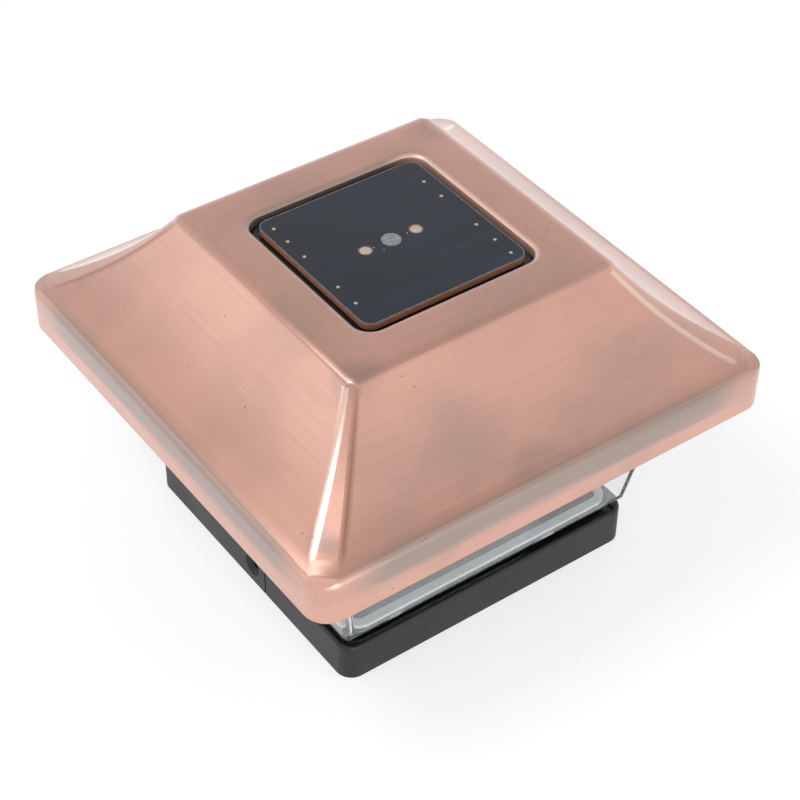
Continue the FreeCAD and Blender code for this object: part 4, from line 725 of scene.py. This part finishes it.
# %% Dress the small nodes
for node, name, material, slot in (
        ("light_sensor", "daylight_sensor", sensor_grey, "sensor_window"),
        ("control_board", "circuit_board", laminate, "board_laminate"),
        ("board_components", "board_parts", part_black, "component_case"),
        ("leds", "led_set", led_clear, "led_epoxy"),
        ("battery_plate", "contact_plate", nickel, "spring_steel"),
        ("battery_spring", "contact_spring", nickel, "spring_steel"),
        ("hinge_pins", "hatch_pins", zinc, "screw_steel"),
        ("switch_leads", "switch_wires", lead_black, "black_lead"),
        ("panel_lead_red", "red_wire", lead_red, "red_lead"),
        ("panel_lead_black", "black_wire", lead_black, "black_lead")):
    skin(node, name, material, slot, angle=40)

# %% [markdown]
# A solder pad shows as a cream disc in a copper ring with a dark gap between. It is drawn up from a
# circle by insets, so that the gap is a real groove, and its faces are sorted by their distance from
# the edge.

# %% Solder pads
RING_WIDTH, GAP_END = 0.2 * MM, 0.42 * MM       # from the pad's edge: end of the copper, of the gap


def solder_pad(x, radius, low, high):
    """A cream pad in a dark gap and a copper ring."""
    bpy.ops.object.select_all(action="DESELECT")
    bpy.ops.mesh.primitive_circle_add(vertices=48, radius=radius, fill_type="NGON",
                                      location=(x, 0, low))
    piece = bpy.context.object
    bpy.ops.object.transform_apply(location=True)
    bpy.ops.object.mode_set(mode="EDIT")
    bpy.ops.mesh.select_all(action="SELECT")
    bpy.ops.mesh.extrude_region_move(TRANSFORM_OT_translate={"value": (0, 0, high - low)})
    bpy.ops.mesh.inset(thickness=0.24 * MM)
    bpy.ops.mesh.inset(thickness=0.16 * MM)
    bpy.ops.transform.translate(value=(0, 0, -0.06 * MM))
    bpy.ops.mesh.inset(thickness=0.12 * MM)
    bpy.ops.transform.translate(value=(0, 0, 0.05 * MM))
    bpy.ops.mesh.select_all(action="SELECT")
    bpy.ops.mesh.normals_make_consistent(inside=False)
    bpy.ops.object.mode_set(mode="OBJECT")
    bpy.ops.object.shade_smooth_by_angle(angle=math.radians(40))
    return piece


pad_low, pad_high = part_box("panel_terminals")
pad_radius = (pad_high.y - pad_low.y) / 2
pads = [solder_pad(x, pad_radius, pad_low.z, pad_high.z)
        for x in (pad_low.x + pad_radius, pad_high.x - pad_radius)]
only(pads[0])
pads[1].select_set(True)
bpy.ops.object.join()
pads = pads[0]
pads.name = "solder_pads"
settle(pads, pad_cream, "solder_pad", "lamp", "panel_terminals")
pads.data.materials.append(pad_copper)
pads.data.materials.append(part_black)
for face in pads.data.polygons:
    middle = pad_low.x + pad_radius if face.center.x < 0 else pad_high.x - pad_radius
    out_by = math.hypot(face.center.x - middle, face.center.y)
    from_edge = pad_radius - out_by
    face.material_index = 1 if from_edge < RING_WIDTH else 2 if from_edge < GAP_END else 0
print("pads of radius %.2f mm" % (pad_radius / MM))

# %% [markdown]
# The resin climbs a little at the panel's edge. A square with rounded corners, its middle cut out, and a
# small height make that frame, and its pale colour is a painted highlight along the edge.

# %% The rim of the resin
PANEL_CORNER = 3.6 * MM
panel_low, panel_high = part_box("solar_panel")
bpy.ops.object.select_all(action="DESELECT")
bpy.ops.mesh.primitive_plane_add(size=panel_high.x - panel_low.x, location=(0, 0, panel_top))
rim = bpy.context.object
rim.name = "resin_rim"
bpy.ops.object.transform_apply(location=True)
bpy.ops.object.mode_set(mode="EDIT")
bpy.ops.mesh.select_all(action="SELECT")
bpy.ops.mesh.bevel(offset=PANEL_CORNER, segments=10, affect="VERTICES")
bpy.ops.mesh.select_all(action="SELECT")
bpy.ops.mesh.inset(thickness=0.3 * MM)
bpy.ops.mesh.delete(type="FACE")
bpy.ops.mesh.select_all(action="SELECT")
bpy.ops.mesh.extrude_region_move(TRANSFORM_OT_translate={"value": (0, 0, 0.05 * MM)})
bpy.ops.mesh.select_all(action="SELECT")
bpy.ops.mesh.normals_make_consistent(inside=False)
bpy.ops.object.mode_set(mode="OBJECT")
settle(rim, resin_rim_highlight, "panel_face", "lamp")
print("resin rim:", len(rim.data.polygons), "faces")

# %% [markdown]
# Ten vias and three specks of solder are low domes. One of each is modelled, and each copy gets a mesh
# of its own at its place.

# %% Vias and specks
# places on the panel's face in mm
VIAS = [(-23.5, 22.2), (-23.5, 15.3), (-23.5, 7.2), (-23.5, -8.7), (-23.5, -16.9),
        (23.0, -23.2), (23.0, -16.2), (23.0, -7.9), (23.0, 8.2), (23.0, 16.4)]
SPECKS = [(-5.9, -0.25), (-4.3, -2.7), (5.2, -0.1)]


def dome(name, radius, height):
    """A low round dome on the XY plane, its foot at the origin."""
    bpy.ops.object.select_all(action="DESELECT")
    bpy.ops.mesh.primitive_circle_add(vertices=20, radius=radius, fill_type="NGON")
    piece = bpy.context.object
    piece.name = name
    bpy.ops.object.mode_set(mode="EDIT")
    bpy.ops.mesh.select_all(action="SELECT")
    for rise, width in ((0.55, 0.86), (0.3, 0.62), (0.15, 0.3)):
        bpy.ops.mesh.extrude_region_move(TRANSFORM_OT_translate={"value": (0, 0, height * rise)})
        bpy.ops.transform.resize(value=(width, width, 1), center_override=(0, 0, 0))
    bpy.ops.mesh.select_all(action="SELECT")
    bpy.ops.mesh.normals_make_consistent(inside=False)
    bpy.ops.object.mode_set(mode="OBJECT")
    bpy.ops.object.shade_smooth()
    return piece


via = dome("via_pattern", 0.55 * MM, 0.06 * MM)
speck = dome("speck_pattern", 0.2 * MM, 0.04 * MM)
copies = []
for spots, pattern in ((VIAS, via), (SPECKS, speck)):
    for x, y in spots:
        mesh = pattern.data.copy()
        mesh.transform(Matrix.Translation((x * MM, y * MM, panel_top)))
        copy = bpy.data.objects.new("via", mesh)
        scene.collection.objects.link(copy)
        copies.append(copy)
for pattern in (via, speck):
    bpy.data.objects.remove(pattern)
only(copies[0])
for copy in copies:
    copy.select_set(True)
bpy.ops.object.join()
vias = copies[0]
vias.name = "panel_vias"
settle(vias, pad_gold, "copper_plate", "lamp")
print("vias:", len(VIAS), "specks:", len(SPECKS))

# %% [markdown]
# ## Cross recessed screws
# Each screw is turned, and then its cross is struck into the head with a punch. Here a round blank is
# drawn up from a circle, two tapered blades cut the cross with a Boolean modifier, and the finished
# screw is copied to each place of its node, so that all of a set are alike.

# %% One screw
def cross_screw(name, head_radius, head_height, shank, length, sunk):
    """A screw with its head up, the top of the head at the origin."""
    bpy.ops.object.select_all(action="DESELECT")
    foot = shank if sunk else head_radius
    bpy.ops.mesh.primitive_circle_add(vertices=32, radius=shank * 0.3, fill_type="NGON",
                                      location=(0, 0, -length))
    piece = bpy.context.object
    piece.name = name
    bpy.ops.object.transform_apply(location=True)
    bpy.ops.object.mode_set(mode="EDIT")
    bpy.ops.mesh.select_all(action="SELECT")
    wide, low = shank * 0.3, -length
    steps = [(shank, -length + shank), (shank, -head_height), (foot, -head_height)]
    steps += [(head_radius, -0.08 * MM), (head_radius - 0.08 * MM, 0)] if sunk else [
        (head_radius, -head_height * 0.45), (head_radius * 0.86, -head_height * 0.16),
        (head_radius * 0.6, 0)]
    for radius, level in steps:
        bpy.ops.mesh.extrude_region_move(TRANSFORM_OT_translate={"value": (0, 0, level - low)})
        share = radius / wide
        bpy.ops.transform.resize(value=(share, share, 1), center_override=(0, 0, 0))
        wide, low = radius, level
    bpy.ops.mesh.select_all(action="SELECT")
    bpy.ops.mesh.normals_make_consistent(inside=False)
    bpy.ops.object.mode_set(mode="OBJECT")
    for turn in (0, 90):
        bpy.ops.object.select_all(action="DESELECT")
        bpy.ops.mesh.primitive_cube_add(size=1)
        blade = bpy.context.object
        size = (head_radius * 1.15, head_radius * 0.3, head_height)
        blade.data.transform(Matrix.Diagonal((*size, 1)))
        for vertex in blade.data.vertices:
            if vertex.co.z < 0:
                vertex.co.x *= 0.45
                vertex.co.y *= 0.6
        blade.data.transform(Matrix.Rotation(math.radians(turn), 4, "Z"))
        only(piece)
        cut = piece.modifiers.new("cross", "BOOLEAN")
        cut.object, cut.operation, cut.solver = blade, "DIFFERENCE", "EXACT"
        bpy.ops.object.modifier_apply(modifier="cross")
        bpy.data.objects.remove(blade)
    bpy.ops.object.shade_smooth_by_angle(angle=math.radians(35))
    return piece


# %% Sets of screws
def screw_set(node, name, head, shank, downwards, sunk):
    """Copy one screw to each screw of a node. The places come from the node's own box."""
    head_radius, head_height = head
    low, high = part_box(node)
    one = cross_screw(name + "_one", head_radius, head_height, shank, high.z - low.z, sunk)
    at_x, at_y = high.x - head_radius, high.y - head_radius
    sides = (1, -1) if low.y < 0 else (1,)
    made = []
    for x in (at_x, -at_x):
        for side in sides:
            mesh = one.data.copy()
            if downwards:
                mesh.transform(Matrix.Rotation(math.pi, 4, "X"))
            mesh.transform(Matrix.Translation((x, side * at_y, low.z if downwards else high.z)))
            copy = bpy.data.objects.new(name, mesh)
            scene.collection.objects.link(copy)
            made.append(copy)
    bpy.data.objects.remove(one)
    only(made[0])
    for copy in made:
        copy.select_set(True)
    bpy.ops.object.join()
    made[0].name = name
    settle(made[0], zinc, "screw_steel", "lamp", node)
    print("%s: %d screws, head at (%.1f, %.1f) mm" % (name, len(made), at_x / MM, at_y / MM))


large = (2.1 * MM, 1.4 * MM)
small = (1.5 * MM, 0.9 * MM)
screw_set("base_screws", "deck_screws", large, 1.0 * MM, True, True)
screw_set("liner_screws", "plate_screws", large, 1.0 * MM, False, False)
screw_set("tray_screws", "carrier_screws", large, 1.0 * MM, False, False)
screw_set("board_screws", "circuit_screws", small, 0.8 * MM, False, False)
screw_set("switch_screws", "slide_screws", small, 0.8 * MM, False, False)

# %% [markdown]
# ## The rechargeable cell
# The cell is a steel can in a shrunk plastic sleeve. The sleeve is drawn in at both ends and leaves a
# ring of bare metal with the flat foot at one end and the nub at the other. It is drawn up from one
# circle along its axis, and the faces get their finish by their place.

# %% The cell
FOOT_RADIUS, BARE_RADIUS = 4.4, 6.2             # mm: the flat foot; faces nearer the axis are bare
# radius and height of each ring above the foot, in mm
CELL_RINGS = ((5.0, 0.35), (6.0, 0.35), (6.4, 0.1), (6.9, 0.1), (7.15, 0.3), (7.25, 0.7),
              (7.25, 47.9), (7.15, 48.5), (6.7, 48.9), (5.9, 49.0), (5.8, 48.8), (3.4, 48.8),
              (2.75, 49.0), (2.75, 50.2), (2.5, 50.5))


def sleeve():
    """A green shrink sleeve with a pale band at the nub's end."""
    material, tree, out, place = finish_named("green_shrink_sleeve")
    low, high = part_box("battery_cell")
    along = add(tree, "SeparateXYZ", {"Vector": place})
    white = add(tree, "Math", {0: along.outputs["X"], 1: high.x - 12 * MM},
                operation="GREATER_THAN")
    scuffs = add(tree, "TexNoise", {"Vector": place, "Scale": per(6), "Detail": 3.0})
    green = add(tree, "Mix", {0: scuffs.outputs["Fac"], 6: linear("2F7D4C"),
                              7: linear("256A3F")}, data_type="RGBA")
    colour = add(tree, "Mix", {0: white.outputs[0], 6: green.outputs[2], 7: linear("DADAD6")},
                 data_type="RGBA")
    rough = add(tree, "MapRange", {"Value": scuffs.outputs["Fac"], "To Min": 0.22,
                                   "To Max": 0.4})
    shader = add(tree, "BsdfPrincipled", {"Base Color": colour.outputs[2],
                                          "Roughness": rough.outputs[0], "IOR": 1.5})
    tree.links.new(shader.outputs[0], out.inputs["Surface"])
    return material


cell_low, cell_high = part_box("battery_cell")
cell_y, cell_z = (cell_low.y + cell_high.y) / 2, (cell_low.z + cell_high.z) / 2
cell_radius = (cell_high.z - cell_low.z) / 2
cell_length = cell_high.x - cell_low.x
bpy.ops.object.select_all(action="DESELECT")
bpy.ops.mesh.primitive_circle_add(vertices=48, radius=FOOT_RADIUS * MM, fill_type="NGON")
cell = bpy.context.object
cell.name = "rechargeable_cell"
bpy.ops.object.mode_set(mode="EDIT")
bpy.ops.mesh.select_all(action="SELECT")
wide, low = FOOT_RADIUS, 0.0
for radius, level in CELL_RINGS:
    bpy.ops.mesh.extrude_region_move(TRANSFORM_OT_translate={"value": (0, 0, (level - low) * MM)})
    share = radius / wide
    bpy.ops.transform.resize(value=(share, share, 1), center_override=(0, 0, 0))
    wide, low = radius, level
bpy.ops.mesh.select_all(action="SELECT")
bpy.ops.mesh.normals_make_consistent(inside=False)
bpy.ops.object.mode_set(mode="OBJECT")
cell.data.transform(Matrix.Translation((cell_low.x, cell_y, cell_z))
                    @ Matrix.Rotation(math.pi / 2, 4, "Y"))
bpy.ops.object.shade_smooth_by_angle(angle=math.radians(40))
settle(cell, sleeve(), "cell_case", "lamp", "battery_cell")
cell.data.materials.append(nickel)
for face in cell.data.polygons:
    out_by = math.hypot(face.center.y - cell_y, face.center.z - cell_z)
    if out_by < BARE_RADIUS * MM:
        face.material_index = 1
print("cell %.1f x %.1f mm" % (cell_radius * 2 / MM, cell_length / MM))

# %% [markdown]
# ## The stage
# The floor is white and matt. It glows a little for the camera, for reflections and through the clear
# dish, so that it stays white there while the lamp's own soft shadow can still be seen on it. From below
# it is clear, so that the underside can be looked at.

# %% The floor
GLOW = 0.66                                     # what the floor adds to its own light
bpy.ops.mesh.primitive_plane_add(size=8.0, location=(0, 0, 0))
floor = bpy.context.object
floor.name = "studio_floor"
material, tree, out, place = finish_named("matt_white_floor")
rays = add(tree, "LightPath")
paper = add(tree, "BsdfDiffuse", {"Color": linear("B0B0B0")})
through = add(tree, "Math", {0: rays.outputs["Is Camera Ray"],
                             1: rays.outputs["Is Transmission Ray"]}, operation="MAXIMUM")
seen = add(tree, "Math", {0: through.outputs[0], 1: rays.outputs["Is Glossy Ray"]},
           operation="MAXIMUM")
level = add(tree, "Math", {0: seen.outputs[0], 1: GLOW}, operation="MULTIPLY")
glow = add(tree, "Emission", {"Color": linear("FFFFFF"), "Strength": level.outputs[0]})
both = add(tree, "AddShader", {0: paper.outputs[0], 1: glow.outputs[0]})
side = add(tree, "NewGeometry")
clear = add(tree, "BsdfTransparent")
whole = add(tree, "MixShader", {0: side.outputs["Backfacing"], 1: both.outputs[0],
                                2: clear.outputs[0]})
tree.links.new(whole.outputs[0], out.inputs["Surface"])
floor.data.materials.append(material)
print(floor.name, "at height", floor.location.z)

# %% [markdown]
# A white room lights the lamp from all around. The camera sees it pure white. Copper needs something to
# mirror, so reflections see it bright at the horizon and dim overhead, and so do matt surfaces, which
# lets light in under the cap.

# %% The pale world
world = bpy.data.worlds.new("pale_studio")
scene.world = world
world.use_nodes = True
tree = world.node_tree
tree.nodes.clear()
out = add(tree, "OutputWorld")
rays = add(tree, "LightPath")
direct = add(tree, "Math", {0: rays.outputs["Is Camera Ray"],
                            1: rays.outputs["Is Transmission Ray"]}, operation="MAXIMUM")
view = add(tree, "TexCoord")
part = add(tree, "SeparateXYZ", {"Vector": view.outputs["Generated"]})
fall = add(tree, "MapRange", {"Value": part.outputs["Z"], "From Min": 0.05, "From Max": 0.95,
                              "To Min": 0.98, "To Max": 0.5})
low_light = add(tree, "MapRange", {"Value": part.outputs["Z"], "From Min": 0.0, "From Max": 1.0,
                                   "To Min": 1.3, "To Max": 0.3})
metal = add(tree, "Mix", {0: rays.outputs["Is Glossy Ray"], 2: low_light.outputs[0],
                          3: fall.outputs[0]}, data_type="FLOAT")
total = add(tree, "Mix", {0: direct.outputs[0], 2: metal.outputs[0], 3: 1.0}, data_type="FLOAT")
sky = add(tree, "Background", {"Color": linear("FFFFFF"), "Strength": total.outputs[0]})
tree.links.new(sky.outputs[0], out.inputs["Surface"])
print(world.name, "has", len(tree.nodes), "nodes")

# %% [markdown]
# Four softboxes model the lamp: one high on the left draws the light line along the hip, one behind on
# the left fills the left slope, one on the right lifts the right slope, and a low one in front reaches
# under the cap to the white seal.

# %% The softboxes
def softbox(name, direction, distance, size, power):
    """An area lamp that looks at the cap from a direction."""
    spot = AIM + Vector(direction).normalized() * distance
    bpy.ops.object.light_add(type="AREA", location=spot)
    lamp = bpy.context.object
    lamp.name = name
    lamp.data.shape = "RECTANGLE"
    lamp.data.size, lamp.data.size_y = size
    lamp.data.energy = power
    lamp.rotation_euler = (spot - AIM).to_track_quat("Z", "Y").to_euler()


softbox("key_softbox", (-0.47, 0.08, 0.86), 1.3, (0.4, 0.4), 3.8)
softbox("left_softbox", (-0.75, 0.5, 0.3), 1.5, (0.9, 0.6), 1.0)
softbox("right_softbox", (0.45, -0.60, 0.66), 1.5, (0.9, 0.6), 0.55)
softbox("low_softbox", (-0.2, -0.95, 0.2), 1.3, (1.0, 0.25), 5.5)

# %% [markdown]
# ## Colours as they are
# The Standard view shows a colour as it was written, so the copper can be compared with a photograph.

# %% Look settings
scene.view_settings.view_transform = "Standard"
print("view:", scene.view_settings.view_transform)
